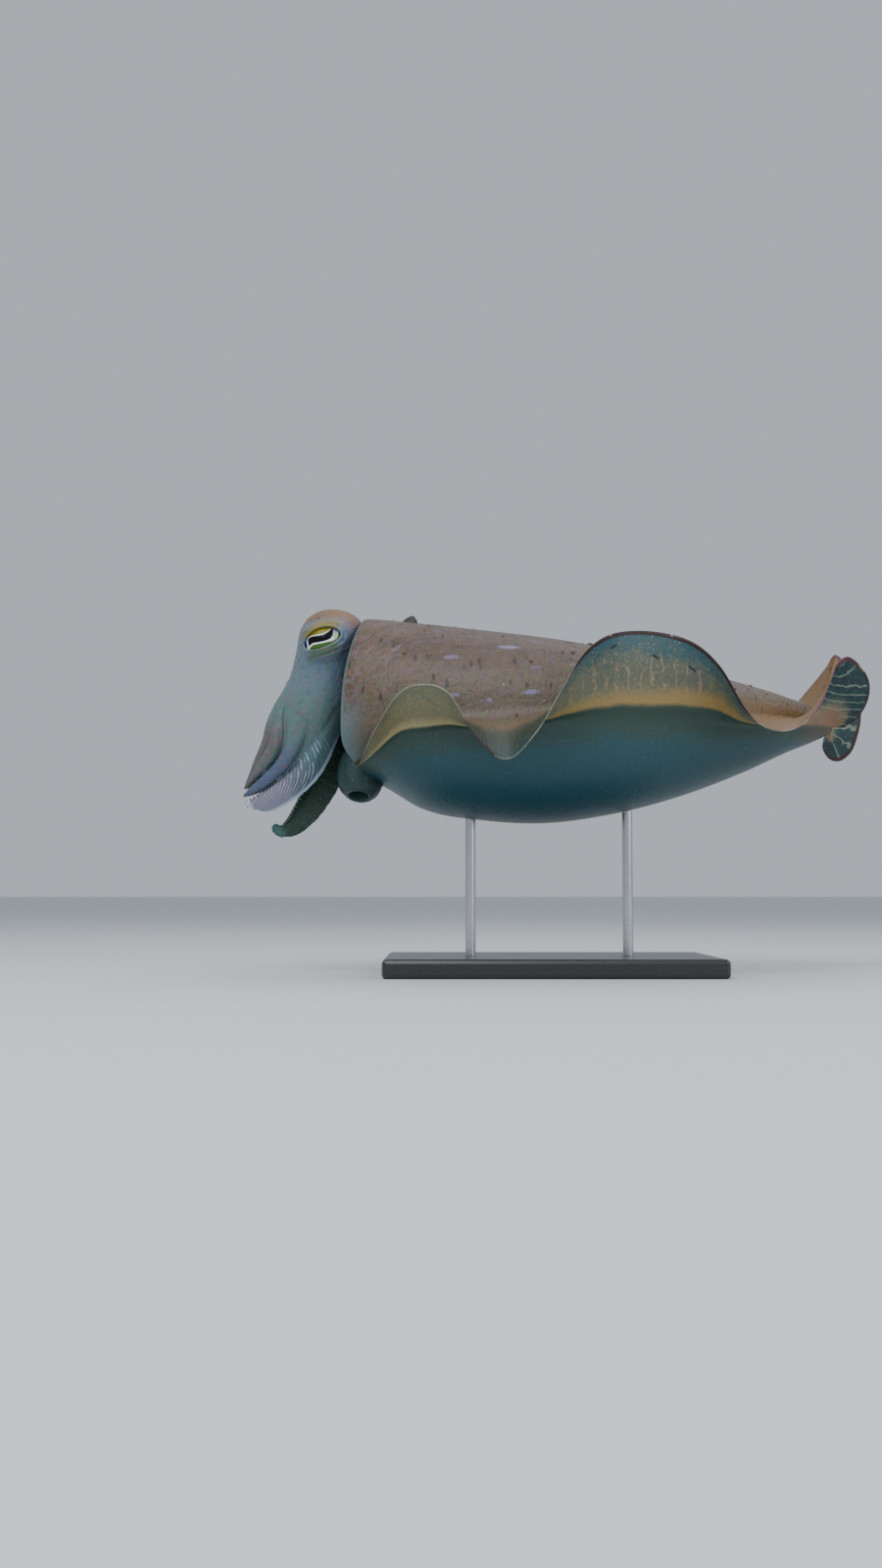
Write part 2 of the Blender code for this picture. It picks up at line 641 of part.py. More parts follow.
def build_stand():
    """A flat base with eased edges and two rods, each cut to the belly that it carries."""
    long, wide, high = BASE_SIZE
    corners = [(x * long / 2, y * wide / 2, z) for z in (0, high) for x, y in ((-1, -1), (1, -1), (1, 1), (-1, 1))]
    faces = [(3, 2, 1, 0), (4, 5, 6, 7), (0, 1, 5, 4), (1, 2, 6, 5), (2, 3, 7, 6), (3, 0, 4, 7)]
    base = make_object("stand_base", corners, faces, "base")
    base.data.shade_flat()
    bevel = base.modifiers.new("eased edges", "BEVEL")
    bevel.width = BASE_EDGE * MM
    bevel.segments = 2
    for place, word in zip(ROD_PLACES, ("front", "rear")):
        rings = []
        for top in (False, True):
            ring = []
            for turn in np.linspace(0, 2 * math.pi, ROD_SIDES, endpoint=False):
                x, y = place + ROD_RADIUS * math.cos(turn), ROD_RADIUS * math.sin(turn)
                ring.append(np.array((x, y, belly_under(x, y) - GAP if top else high + GAP)))
            rings.append(ring)
        loft(f"stand_rod_{word}", rings, "rod")


def build():
    """Clears the scene and makes every part."""
    for old in list(bpy.data.objects):
        bpy.data.objects.remove(old)
    build_mantle()
    build_fins()
    build_head()
    build_crown_arms()
    build_hanging_arm()
    build_funnel()
    build_stand()


build()
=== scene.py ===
"""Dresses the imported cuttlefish: one skin over its flesh, wet eyes, suckers, papillae and a plain stand.

Sizes are in millimetres, as in the part's source, and become metres when a mesh is made.
The animal faces -X, its tail fins point to +X, and its left side faces -Y.
"""

import logging
import math
from collections.abc import Callable, Sequence
from dataclasses import dataclass
from enum import Enum
from functools import reduce
from typing import NamedTuple

import bmesh
import bpy
import numpy as np
from bpy.types import Material, Mesh, Node, NodeSocket, NodeTree, Object
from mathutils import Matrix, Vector
from mathutils.kdtree import KDTree


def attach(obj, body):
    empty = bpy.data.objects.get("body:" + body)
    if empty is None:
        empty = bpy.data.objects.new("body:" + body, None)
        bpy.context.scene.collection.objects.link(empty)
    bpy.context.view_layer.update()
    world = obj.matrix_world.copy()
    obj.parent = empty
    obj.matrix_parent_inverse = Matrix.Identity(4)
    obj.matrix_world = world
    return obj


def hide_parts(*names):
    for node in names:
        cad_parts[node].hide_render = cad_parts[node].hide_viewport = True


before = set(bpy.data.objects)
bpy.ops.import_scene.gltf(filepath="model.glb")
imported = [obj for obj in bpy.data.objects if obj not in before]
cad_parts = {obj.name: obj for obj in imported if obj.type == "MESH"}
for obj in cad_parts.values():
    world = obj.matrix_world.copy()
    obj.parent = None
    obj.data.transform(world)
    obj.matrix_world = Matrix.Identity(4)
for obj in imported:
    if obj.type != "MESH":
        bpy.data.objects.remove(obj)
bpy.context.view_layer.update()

logging.basicConfig(level=logging.INFO, format="%(name)s: %(message)s")
log = logging.getLogger("cuttlefish")

MM = 0.001
Array = np.ndarray
Colour = tuple[float, ...]
Stations = Sequence[tuple[float, ...]]


class Side(Enum):
    """The animal's two sides, by the sign of Y."""

    LEFT = -1
    RIGHT = 1


class Curve:
    """A smooth line through (place, value) stations."""

    def __init__(self, stations: Stations) -> None:
        """Keeps the stations and the slope at each.

        Args:
            stations: Rows of a place and the value there, in order of place.
        """
        self.places, self.values = np.array(stations, float).T
        self.slopes = np.gradient(self.values, self.places)

    def __call__(self, place: Array | float) -> Array:
        """The value at one or more places, held level past both ends.

        Args:
            place: Where to read the curve.

        Returns:
            The value at each place.
        """
        place = np.clip(place, self.places[0], self.places[-1])
        i = np.clip(np.searchsorted(self.places, place) - 1, 0, len(self.places) - 2)
        step = self.places[i + 1] - self.places[i]
        t = (place - self.places[i]) / step
        rise = (2 * t**3 - 3 * t**2 + 1) * self.values[i] + (3 * t**2 - 2 * t**3) * self.values[i + 1]
        lean = (t**3 - 2 * t**2 + t) * self.slopes[i] + (t**3 - t**2) * self.slopes[i + 1]
        return rise + step * lean


def squared(value: Array, squareness: Array | float) -> Array:
    """A sine or cosine, bent so that the oval that it draws is squarer."""
    return np.sign(value) * np.abs(value) ** (2 / squareness)


def unit(vectors: Array) -> Array:
    """The vectors at length 1."""
    return vectors / np.maximum(np.linalg.norm(vectors, axis=-1, keepdims=True), 1e-9)


def eased(value: Array | float, low: float, high: float) -> Array:
    """0 below low, 1 above high, and a smooth step between them."""
    t = np.clip((np.asarray(value, float) - low) / (high - low), 0, 1)
    return t * t * (3 - 2 * t)


def around(count: int) -> Array:
    """Even turns round a circle, in radians."""
    return np.linspace(0, 2 * math.pi, count, endpoint=False)


def curves(rows: Stations, places: Array | None = None) -> list[Curve]:
    """A curve through each column of a table.

    Args:
        rows: The table.
        places: Where each row lies, if not at its own number.

    Returns:
        The curves, by column.
    """
    table = np.array(rows, float)
    places = np.arange(len(table)) if places is None else places
    return [Curve(np.column_stack((places, column))) for column in table.T]


def ring_faces(rows: int, count: int) -> list[tuple[int, ...]]:
    """The faces between rings of points that follow one another."""
    return [
        (i * count + j, i * count + (j + 1) % count, (i + 1) * count + (j + 1) % count, (i + 1) * count + j)
        for i in range(rows - 1) for j in range(count)
    ]


class Shape:
    """A mesh in the making: its points and faces."""

    def __init__(self) -> None:
        """Starts with nothing in it."""
        self.points: list[Array] = []
        self.faces: list[tuple[int, ...]] = []
        self.count = 0

    def add(self, points: Array, faces: Sequence[tuple[int, ...]]) -> int:
        """Adds points and the faces among them.

        Args:
            points: Rows of X, Y, Z.
            faces: Faces, numbered from the first of these points.

        Returns:
            The number of the first of these points in the whole shape.
        """
        first = self.count
        self.points.append(np.asarray(points, float).reshape(-1, 3))
        self.faces += [tuple(first + k for k in face) for face in faces]
        self.count += len(self.points[-1])
        return first

    def tube(self, rings: Array, capped: bool = True) -> None:
        """Adds a closed tube through rings of equal count.

        Args:
            rings: Points by ring, by place round it, by axis.
            capped: Whether each end is closed with a fan.
        """
        rings = np.asarray(rings, float)
        rows, count = rings.shape[:2]
        faces = ring_faces(rows, count)
        points = rings.reshape(-1, 3)
        if capped:
            points = np.vstack((points, rings[0].mean(0), rings[-1].mean(0)))
            for middle, start in ((rows * count, 0), (rows * count + 1, (rows - 1) * count)):
                faces += [(start + j, start + (j + 1) % count, middle) for j in range(count)]
        self.add(points, faces)

    def mesh(self, name: str, outwards: bool = True) -> Mesh:
        """Makes the Blender mesh, in metres.

        Args:
            name: The mesh's name.
            outwards: Whether its faces are turned outwards.

        Returns:
            The mesh, with smooth faces.
        """
        made = bpy.data.meshes.new(name)
        made.from_pydata((np.vstack(self.points) * MM).tolist(), [], self.faces)
        if outwards:
            shape = bmesh.new()
            shape.from_mesh(made)
            bmesh.ops.recalc_face_normals(shape, faces=shape.faces)
            shape.to_mesh(made)
            shape.free()
        made.shade_smooth()
        return made

    def piece(self, name: str) -> Object:
        """Makes an object of the shape and puts it in the scene."""
        return placed(bpy.data.objects.new(name, self.mesh(name)))


def placed(piece: Object) -> Object:
    """Puts an object in the scene and returns it."""
    bpy.context.scene.collection.objects.link(piece)
    return piece


def points_of(mesh: Mesh) -> Array:
    """A mesh's points as rows of X, Y, Z, in millimetres.

    Args:
        mesh: The mesh.

    Returns:
        Its points.
    """
    flat = np.empty(len(mesh.vertices) * 3, np.float32)
    mesh.vertices.foreach_get("co", flat)
    return flat.reshape(-1, 3).astype(float) / MM


def settle(piece: Object) -> Mesh:
    """Applies a piece's modifiers to its mesh.

    Args:
        piece: The object to settle.

    Returns:
        Its new mesh, with no modifier left on the object.
    """
    bpy.context.view_layer.update()
    graph = bpy.context.evaluated_depsgraph_get()
    made = bpy.data.meshes.new_from_object(piece.evaluated_get(graph))
    piece.modifiers.clear()
    piece.data = made
    return made


def give_values(mesh: Mesh, name: str, values: Array) -> None:
    """Writes a number or a vector for each point as a named attribute.

    Args:
        mesh: The mesh that takes them.
        name: The attribute's name.
        values: One row for each point, of 1 or 3 numbers.
    """
    values = np.asarray(values, np.float32)
    wide = values.ndim > 1
    made = mesh.attributes.new(name, "FLOAT_VECTOR" if wide else "FLOAT", "POINT")
    made.data.foreach_set("vector" if wide else "value", values.ravel())


@dataclass
class Mantle:
    """The mantle: an oval sack with an open front and a rolled lip."""

    back: Stations = (
        (-160, 270), (-141, 271), (-97, 267), (-45, 261), (15, 253), (75, 240), (141, 223), (180, 212),
        (205, 202), (217, 192),
    )
    belly: Stations = (
        (-160, 152), (-131, 145), (-97, 126), (-50, 117), (0, 115), (45, 121), (90, 132), (150, 154),
        (185, 170), (205, 178), (217, 184),
    )
    side: Stations = ((-160, 186), (-60, 186), (40, 188), (217, 188))
    half_width: Stations = (
        (-160, 65), (-120, 76), (-80, 84), (-30, 88), (20, 86), (70, 77), (110, 65), (150, 47),
        (180, 31), (200, 18), (212, 9), (217, 5),
    )
    back_squareness: float = 2.3
    belly_squareness: float = 2.05
    tail_x: float = 217.0
    lip_side_x: float = -156.0
    lip_back_setback: float = 15.0
    lip_belly_setback: float = 26.0
    lip_thickness: float = 6.0
    cavity_floor_x: float = -112.0
    cavity_inset: float = 8.0

    def __post_init__(self) -> None:
        """Makes the curves from the stations."""
        self.back_z, self.belly_z, self.side_z, self.width = map(
            Curve, (self.back, self.belly, self.side, self.half_width)
        )

    def point(self, x: Array, angle: Array, side: float, inset: Array | float = 0.0) -> Array:
        """Points of the mantle's section.

        Args:
            x: Places along X.
            angle: Degrees upwards from the animal's side.
            side: The sign of Y.
            inset: How far inside the outline the points lie.

        Returns:
            Points by place, by axis.
        """
        x, angle = np.broadcast_arrays(np.asarray(x, float), np.asarray(angle, float))
        a = np.radians(angle)
        up = angle > 0
        squareness = np.where(up, self.back_squareness, self.belly_squareness)
        rise = np.where(up, self.back_z(x) - self.side_z(x), self.side_z(x) - self.belly_z(x)) - inset
        y = side * (self.width(x) - inset) * squared(np.cos(a), squareness)
        return np.stack((x, y, self.side_z(x) + rise * squared(np.sin(a), squareness)), -1)

    def lip_x(self, angle: Array) -> Array:
        """Where the front edge lies along X at each angle round the mantle."""
        s = np.sin(np.radians(angle))
        return self.lip_side_x + np.where(s > 0, self.lip_back_setback * s**2, self.lip_belly_setback * s**4)


# Each ray's root, rise, sweep and length
FRONT_RAYS = ((-143, -30, -10, 6), (-133, 6, -5, 24), (-118, 34, 0, 36), (-98, 40, 0, 43), (-78, 22, 0, 47))


@dataclass
class Fin:
    """One of the two fins, as rays from the mantle's side.

    Each ray is the place of its root along X, its rise above level in degrees, its sweep towards the
    tail in degrees, and its length. The fin thins where the mantle is narrower than full_width or the
    ray shorter than full_length.
    """

    side: Side
    rays: Stations
    mantle: Mantle
    root_angle: Stations = ((-143, -50), (-130, -28), (-118, -13), (-90, -5), (-50, -2), (0, 0), (217, 0))
    root_thickness: float = 7.0
    edge_thickness: float = 1.2
    steps: int = 34
    first_x: float = -143.0
    merge_x: float = -153.0
    full_width: float = 36.0
    full_length: float = 28.0
    full_edge_length: float = 50.0
    bend_at_root: float = 0.7
    bend_growth: float = 0.6
    tangent_share: float = 0.14
    edge_round: float = 0.35
    fine_count: int = 4000

    def __post_init__(self) -> None:
        """Makes a curve of each of the rays' numbers along the fin."""
        self.x_of, self.rise_of, self.sweep_of, self.length_of = curves(self.rays)
        self.angle_of = Curve(self.root_angle)
        self.fine_places = np.linspace(0, len(self.rays) - 1, self.fine_count)
        self.fine_x = np.maximum.accumulate(self.x_of(self.fine_places))

    def place_at(self, x: Array) -> Array:
        """The place among the rays whose root is at X."""
        return np.interp(x, self.fine_x, self.fine_places)

    def sheets(self, x: Array) -> tuple[Array, ...]:
        """The fin's two faces and its edge, for rays rooted at these places.

        Args:
            x: Where the rays are rooted along X.

        Returns:
            Points of the upper and lower faces, by ray, step and axis, and of the rounded edge.
        """
        place = self.place_at(x)
        angle = self.angle_of(x)
        side = self.side.value
        foot = self.mantle.point(x, angle, side)
        tangent = unit(self.mantle.point(x, angle + 2, side) - self.mantle.point(x, angle - 2, side))
        rise, sweep = np.radians(self.rise_of(place)), np.radians(self.sweep_of(place))
        length = self.length_of(place)
        level = np.stack((np.sin(sweep), side * np.cos(sweep), 0 * sweep), -1)
        up = np.array((0, 0, 1.0))
        slender = np.minimum(1, self.mantle.width(x) / self.full_width)
        slender = slender * np.minimum(1, 0.1 + length / self.full_length)
        edge = self.edge_thickness * np.minimum(1, 0.5 + length / self.full_edge_length)
        point, upper, lower = foot.copy(), [], []
        for step in range(self.steps + 1):
            share = step / self.steps
            bend = (rise * (self.bend_at_root + self.bend_growth * share))[:, None]
            ray = np.cos(bend) * level + np.sin(bend) * up
            over = np.cos(bend) * up - np.sin(bend) * level
            over = unit(over + (tangent - over) * (1 - eased(share, 0, self.tangent_share)))
            half = 0.5 * (edge + (self.root_thickness - self.edge_thickness) * slender * (1 - share) ** 2)
            upper.append(point + half[:, None] * over)
            lower.append(point - half[:, None] * over)
            if step < self.steps:
                point = point + length[:, None] / self.steps * ray
        return np.stack(upper, 1), np.stack(lower, 1), point + self.edge_round * ray


LEFT_RAYS = FRONT_RAYS + (
    (-60, -16, 0, 50), (-38, -38, 0, 52), (-18, -18, 0, 52), (0, 14, 0, 54), (20, 48, 0, 57),
    (42, 70, 0, 60), (65, 75, 0, 61), (90, 64, 0, 59), (112, 35, 0, 56), (130, 2, 0, 52),
    (146, -13, 3, 48), (163, -13, 7, 47), (178, 4, 11, 48), (190, 34, 16, 51), (199, 56, 25, 54),
    (207, 63, 46, 57), (212.5, 45, 58, 46), (216, 20, 62, 22), (217, 2, 62, 8),
)
RIGHT_RAYS = FRONT_RAYS + (
    (-60, -14, 0, 50), (-38, -32, 0, 52), (-18, -14, 0, 52), (0, 14, 0, 54), (20, 42, 0, 57), (42, 58, 0, 60),
    (65, 62, 0, 61), (90, 50, 0, 59), (112, 26, 0, 56), (130, 4, 0, 52), (146, -8, 3, 49), (163, -4, 10, 49),
    (177, 14, 20, 51), (187, 36, 33, 59), (195, 50, 45, 71), (202, 58, 53, 75), (207, 38, 60, 59),
    (210.5, -2, 62, 40), (213, -32, 58, 34), (215, -54, 44, 30), (216.3, -62, 14, 25), (217, -62, -30, 15),
)


@dataclass
class Crown:
    """The head and the closed crown of arms, as sections along one bent spine from the top of the head.

    The spine's stations are its length so far, X and Z. The arms start at arms_start along it.
    """

    spine: Stations = (
        (0, -157, 278), (28.6, -162.3, 250), (60.6, -171, 219), (92, -183, 190), (122.5, -199, 164),
        (147.3, -217, 147), (174.1, -239.1, 131.8),
    )
    depth_front: Stations = (
        (20, 30), (28, 30), (45, 29), (61, 29), (92, 32), (107, 31), (122, 27), (147, 17), (160, 10),
        (172, 4),
    )
    depth_rear: Stations = (
        (20, 25), (28, 25), (61, 27), (92, 28), (122, 31), (147, 28), (160, 24), (168, 16), (173, 8),
    )
    half_breadth: Stations = (
        (28, 46), (45, 43), (61, 38), (92, 33), (122, 26), (147, 16), (160, 10), (171, 4),
    )
    front_squareness: Stations = ((0, 2.4), (30, 2.8), (61, 2.0))
    dome: float = 28.0
    arms_start: float = 61.0
    front_arms_angle: float = 73.0
    front_arms_spread: Stations = ((61, 0.66), (98, 0.76), (120, 1.0), (170, 1.0))
    keel_angle: float = 109.0
    mound_height: float = 5.0
    mound_spread: float = 16.0

    def __post_init__(self) -> None:
        """Makes the curves from the stations."""
        _, self.x, self.z = curves(self.spine, np.array(self.spine)[:, 0])
        self.front, self.rear, self.breadth, self.square, self.spread = map(Curve, (
            self.depth_front, self.depth_rear, self.half_breadth, self.front_squareness,
            self.front_arms_spread,
        ))

    def frame(self, place: Array) -> tuple[Array, ...]:
        """The spine at each place.

        Args:
            place: Millimetres along the spine.

        Returns:
            Its middle, its forward direction and its direction along.
        """
        place = np.asarray(place, float)
        nil = np.zeros_like(place)
        middle = np.stack((self.x(place), nil, self.z(place)), -1)
        along = unit(np.stack((
            self.x(place + 0.5) - self.x(place - 0.5), nil, self.z(place + 0.5) - self.z(place - 0.5),
        ), -1))
        return middle, np.stack((along[..., 2], nil, -along[..., 0]), -1), along

    def leaned(self, place: Array, angle: Array) -> Array:
        """The angle of an arm's point once the front arms are drawn together near the crown.

        Args:
            place: Millimetres along the spine.
            angle: The point's angle where the arms are evenly spread.

        Returns:
            Its true angle, in degrees.
        """
        knee = self.front_arms_angle * self.spread(place)
        near = angle / self.front_arms_angle * knee
        between = (angle - self.front_arms_angle) / (self.keel_angle - self.front_arms_angle)
        middle = knee + between * (self.keel_angle - knee)
        return np.where(angle < self.front_arms_angle, near, np.where(angle < self.keel_angle, middle, angle))

    def point(self, place: Array, angle: Array, radius: Array, side: float) -> Array:
        """Points round the spine.

        Args:
            place: Millimetres along the spine.
            angle: Degrees from the front towards the side.
            radius: Share of the way out to the outline.
            side: The sign of Y.

        Returns:
            Points by place, by axis.
        """
        place, angle, radius = np.broadcast_arrays(*(np.asarray(v, float) for v in (place, angle, radius)))
        middle, front, _ = self.frame(place)
        a = np.radians(angle)
        square = np.where(np.cos(a) > 1e-9, self.square(place), 2.0)
        depth = self.front(place) * np.cos(a / 2) ** 2 + self.rear(place) * np.sin(a / 2) ** 2
        forwards = (radius * depth * squared(np.cos(a), square))[..., None]
        sideways = (radius * side * self.breadth(place) * squared(np.sin(a), square))[..., None]
        return middle + forwards * front + sideways * np.array((0, 1.0, 0))

    def rings(
        self, places: Array, columns: int, eye: "Eye", webs: tuple[Curve, Curve] | None = None,
    ) -> Array:
        """Sections of the head and of the web between the arms, raised into a mound at each eye.

        Args:
            places: Places of the sections along the spine.
            columns: Points in each section.
            eye: The eye that the mounds carry.
            webs: The share of the outline that the web keeps at each place, in front and behind.

        Returns:
            Points by section, by place round it, by axis.
        """
        turn = np.linspace(0, 360, columns, endpoint=False)
        rings = []
        for place in places:
            size = math.sqrt(max(0.0, 1 - max(0.0, 1 - place / self.dome) ** 2))
            full = max(place, self.dome)
            if webs is not None:
                behind = eased(180 - np.abs(180 - turn), 118, 140)[:, None]
                size = float(webs[0](place)) * (1 - behind) + float(webs[1](place)) * behind
            ring = self.frame(place)[0] + size * (self.point(full, turn, 1.0, -1) - self.frame(full)[0])
            reach = np.hypot(ring[:, 0] - eye.centre[0], ring[:, 2] - eye.centre[2])
            lift = self.mound_height * np.exp(-((reach / self.mound_spread) ** 2))
            ring[:, 1] += np.sign(ring[:, 1]) * lift * np.minimum(1, np.abs(ring[:, 1]) / 20)
            rings.append(ring)
        return np.array(rings)

    def coordinates(self, points: Array) -> Array:
        """Where points lie along, round and out from the spine.

        Args:
            points: Rows of X, Y, Z.

        Returns:
            Rows of the place along the spine, degrees from its front, and share of the outline.
        """
        places = np.linspace(0, 174, 349)
        middle, front, along = self.frame(places)
        flat = points[:, [0, 2]]
        nearest = np.empty(len(points), int)
        for start in range(0, len(points), 20000):
            part = flat[start:start + 20000]
            gaps = ((part[:, None] - middle[None][:, :, [0, 2]]) ** 2).sum(-1)
            nearest[start:start + 20000] = gaps.argmin(1)
        out = points - middle[nearest]
        forwards = (out * front[nearest]).sum(1)
        past = (out * along[nearest]).sum(1)
        place = places[nearest] + past
        angle = np.degrees(np.arctan2(
            np.abs(points[:, 1]) / self.breadth(place),
            forwards / np.where(forwards > 0, self.front(place), self.rear(place)),
        ))
        depth = np.where(forwards > 0, self.front(place), self.rear(place))
        share = np.hypot(points[:, 1] / self.breadth(place), forwards / depth)
        return np.stack((place, angle, share), 1)


@dataclass
class CrownArm:
    """One arm of the closed crown, on one side."""

    crown: Crown
    number: int
    side: Side
    middle: float
    half: float
    inner: float
    end: float
    start: float = 54.0
    full: float = 88.0
    sunk: float = 0.05
    taper: float = 26.0
    columns: int = 32
    rows: int = 90
    squareness: float = 2.35
    groove: float = 0.9
    keel_thinning: float = 0.44

    def kept(self, place: Array) -> Array:
        """The share of the arm's full size that it keeps at each place near its tip."""
        left = np.clip((self.end - place) / self.taper, 0, 1)
        return np.sqrt(np.maximum(0, 1 - (1 - left) ** 2))

    def rings(self) -> Array:
        """The arm's sections from inside the head to its tip.

        Returns:
            Points by section, by place round it, by axis.
        """
        turn = around(self.columns)
        run = np.linspace(0, 1, self.rows)
        places = self.end - 0.2 - (self.end - 0.2 - self.start) * (1 - run) ** 1.25
        across = squared(np.cos(turn), self.squareness)
        rings = []
        for place in places:
            kept = float(self.kept(np.array(place)))
            grown = float(eased(place, self.start, self.full))
            half = self.half * kept * (1 - (1 - self.groove) * grown)
            angle = self.middle + half * across
            floor = self.inner + (self.keel_thinning * (0.5 + 0.5 * across) ** 1.5 if self.number == 4 else 0)
            centre = (1 + floor) / 2
            radius = centre + (1 - floor) / 2 * kept * squared(np.sin(turn), self.squareness)
            radius = radius * (1 - self.sunk * (1 - grown))
            angle = self.crown.leaned(place, angle)
            rings.append(self.crown.point(place, angle, radius, self.side.value))
        return np.array(rings)

    def inner_points(self, row: float, places: Array) -> Array:
        """Points on the arm's inner face, for suckers.

        Args:
            row: The share of the arm's half angle.
            places: Millimetres along the spine.

        Returns:
            Points by place, by axis.
        """
        angle = self.middle + self.half * self.kept(places) * row
        floor = self.inner + 0.03 + (self.keel_thinning * (0.5 + 0.5 * row) ** 1.5 if self.number == 4 else 0)
        return self.crown.point(places, self.crown.leaned(places, angle), floor, self.side.value)


# Each pair's middle, half angle, inner radius and end
ARMS = {
    1: (19.5, 16.5, 0.45, 163), 2: (54.5, 16.5, 0.45, 166), 3: (90.5, 16.5, 0.42, 169),
    4: (135.0, 26.0, 0.50, 172.5),
}


@dataclass
class HangingArm:
    """The right ventral arm, which hangs free and curls at its tip."""

    crown: Crown
    root: tuple[float, float] = (140.0, 0.76)
    rows: Stations = (
        (-157, 18.5, 213.4, 10, 8), (-160, 19, 196, 11, 7.5), (-163, 18, 176, 12, 7),
        (-169, 17, 157, 12.5, 6.5), (-177, 15, 140, 12, 6), (-186, 13, 125, 10.5, 5.5),
        (-195, 12, 114, 8, 5), (-203, 12, 109.5, 5.5, 4.2), (-209, 12, 110.5, 4, 3.4),
        (-212, 12, 114.5, 2.6, 2.4),
    )
    columns: int = 40
    sections: int = 120

    def __post_init__(self) -> None:
        """Makes a curve of each of the rows' numbers along the arm."""
        self.curves = curves(self.rows, np.arange(len(self.rows)) / (len(self.rows) - 1))

    def row(self, share: float) -> Array:
        """X, Y, Z, half breadth and half thickness at a share of the arm's length."""
        return np.array([float(curve(share)) for curve in self.curves])

    def frame(self, share: float) -> tuple[Array, ...]:
        """The arm at a share of its length.

        Args:
            share: 0 at its root and 1 at its tip.

        Returns:
            Its middle and its directions along, across its breadth and through it.
        """
        along = unit(self.row(min(share + 0.01, 1))[:3] - self.row(max(share - 0.01, 0))[:3])
        middle = self.row(share)[:3]
        turned = min(1.0, share / 0.12)
        root = self.crown.point(self.crown.arms_start, self.root[0], self.root[1], Side.RIGHT.value)
        middle = root + (middle - root) * turned
        along = unit((1 - turned) * self.crown.frame(self.crown.arms_start)[2] + turned * along)
        flat = np.array((0, 1.0, 0))
        flat = unit(flat - along * (flat @ along))
        return middle, along, np.cross(flat, along), flat

    def rings(self) -> Array:
        """The arm's sections from inside the head to its curled tip.

        Returns:
            Points by section, by place round it, by axis.
        """
        turn = around(self.columns)
        rings = []
        for share in np.linspace(0, 0.999, self.sections):
            middle, _, broad, flat = self.frame(share)
            wide, thick = self.row(share)[3:]
            end = math.sqrt(max(0.0, 1 - max(0.0, (share - 0.97) / 0.03) ** 2))
            wide, thick = wide * max(end, 0.2), thick * max(end, 0.2)
            through = thick * squared(np.sin(turn), 1.8) * (0.62 + 0.38 * np.cos(turn))
            rings.append(middle + np.outer(wide * np.cos(turn), broad) + np.outer(through, flat))
        return np.array(rings)


@dataclass
class Funnel:
    """The short bent tube under the head, open at its mouth, and the neck above it."""

    rows: Stations = (
        (-112.3, 0, 172, 36, 14), (-126, -1, 171, 31, 14), (-138, -4, 168, 25, 15), (-142, -8, 158, 20.5, 18),
        (-143.5, -13, 147, 18, 17.5), (-144, -17, 139, 15, 15), (-144.5, -19, 134.5, 11.5, 10.5),
    )
    mouth: Stations = ((-144.2, -19.3, 133.8, 0.74), (-144.6, -16.5, 139, 0.6), (-144.3, -11, 149, 0.42))
    neck: Stations = (
        (-112.3, 0, 227, 46, 29), (-126, 0, 229, 45, 27), (-139, 0, 234, 42, 24),
        (-151, 0, 237, 37, 19), (-160, 0, 239, 28, 14),
    )
    columns: int = 48
    fineness: int = 8

    def tube(self, rows: Stations) -> Array:
        """Fine sections of a tube.

        Args:
            rows: Its X, Y, Z, half breadth and half height at each station.

        Returns:
            Points by section, by place round it, by axis.
        """
        fine = np.linspace(0, len(rows) - 1, self.fineness * (len(rows) - 1) + 1)
        table = np.stack([curve(fine) for curve in curves(rows)], 1)
        path = table[:, :3]
        tangents = unit(np.gradient(path, axis=0))
        start = eased(fine, 0, 1)[:, None]
        tangents = unit((1 - start) * np.array((-1.0, 0, 0)) + start * tangents)
        turn = around(self.columns)
        rings = []
        for centre, tangent, (wide, high) in zip(path, tangents, table[:, 3:]):
            across = unit(np.array((0, 1, 0)) - tangent[1] * tangent)
            over = np.cross(tangent, across)
            rings.append(centre + np.outer(wide * np.cos(turn), across) + np.outer(high * np.sin(turn), over))
        return np.array(rings)

    def rings(self) -> Array:
        """The funnel's sections, from its root inside the mantle to the hollow of its mouth."""
        rings = list(self.tube(self.rows))
        lip, middle = rings[-1], rings[-1].mean(0)
        for x, y, z, share in self.mouth:
            rings.append(np.array((x, y, z)) + share * (lip - middle))
        return np.array(rings)


@dataclass(frozen=True)
class Eye:
    """One eye: a ball with a wavy pupil, in a socket with an upper and a lower lid."""

    centre: tuple[float, float, float] = (-169.5, 38.0, 248.0)
    radius: float = 15.5
    tilt: float = 20.0
    lid_thickness: float = 1.9
    opening_long: float = 14.0
    opening_tall: float = 7.4
    cut: tuple[float, float] = (-2.0, 30.0)
    clear: float = 40.0
    folds: tuple[tuple[float, ...], ...] = (
        (1.1, 0, 360, 1.0), (1.42, 200, 345, 0.9), (1.8, 215, 335, 0.8), (1.5, 25, 165, 1.3),
        (1.3, -38, 28, 0.9),
    )

    def frame(self, side: Side) -> tuple[Array, ...]:
        """Where the eye sits, tilted up to the rear.

        Args:
            side: Which eye.

        Returns:
            Its middle and its long, tall and outward directions.
        """
        tilt = math.radians(self.tilt)
        out = unit(np.array((-0.1, side.value * 0.985, 0.1)))
        long = np.array((math.cos(tilt), 0, math.sin(tilt)))
        long = unit(long - out * (long @ out))
        tall = np.cross(out, long) * -side.value
        x, y, z = self.centre
        return np.array((x, side.value * y, z)), long, tall, out


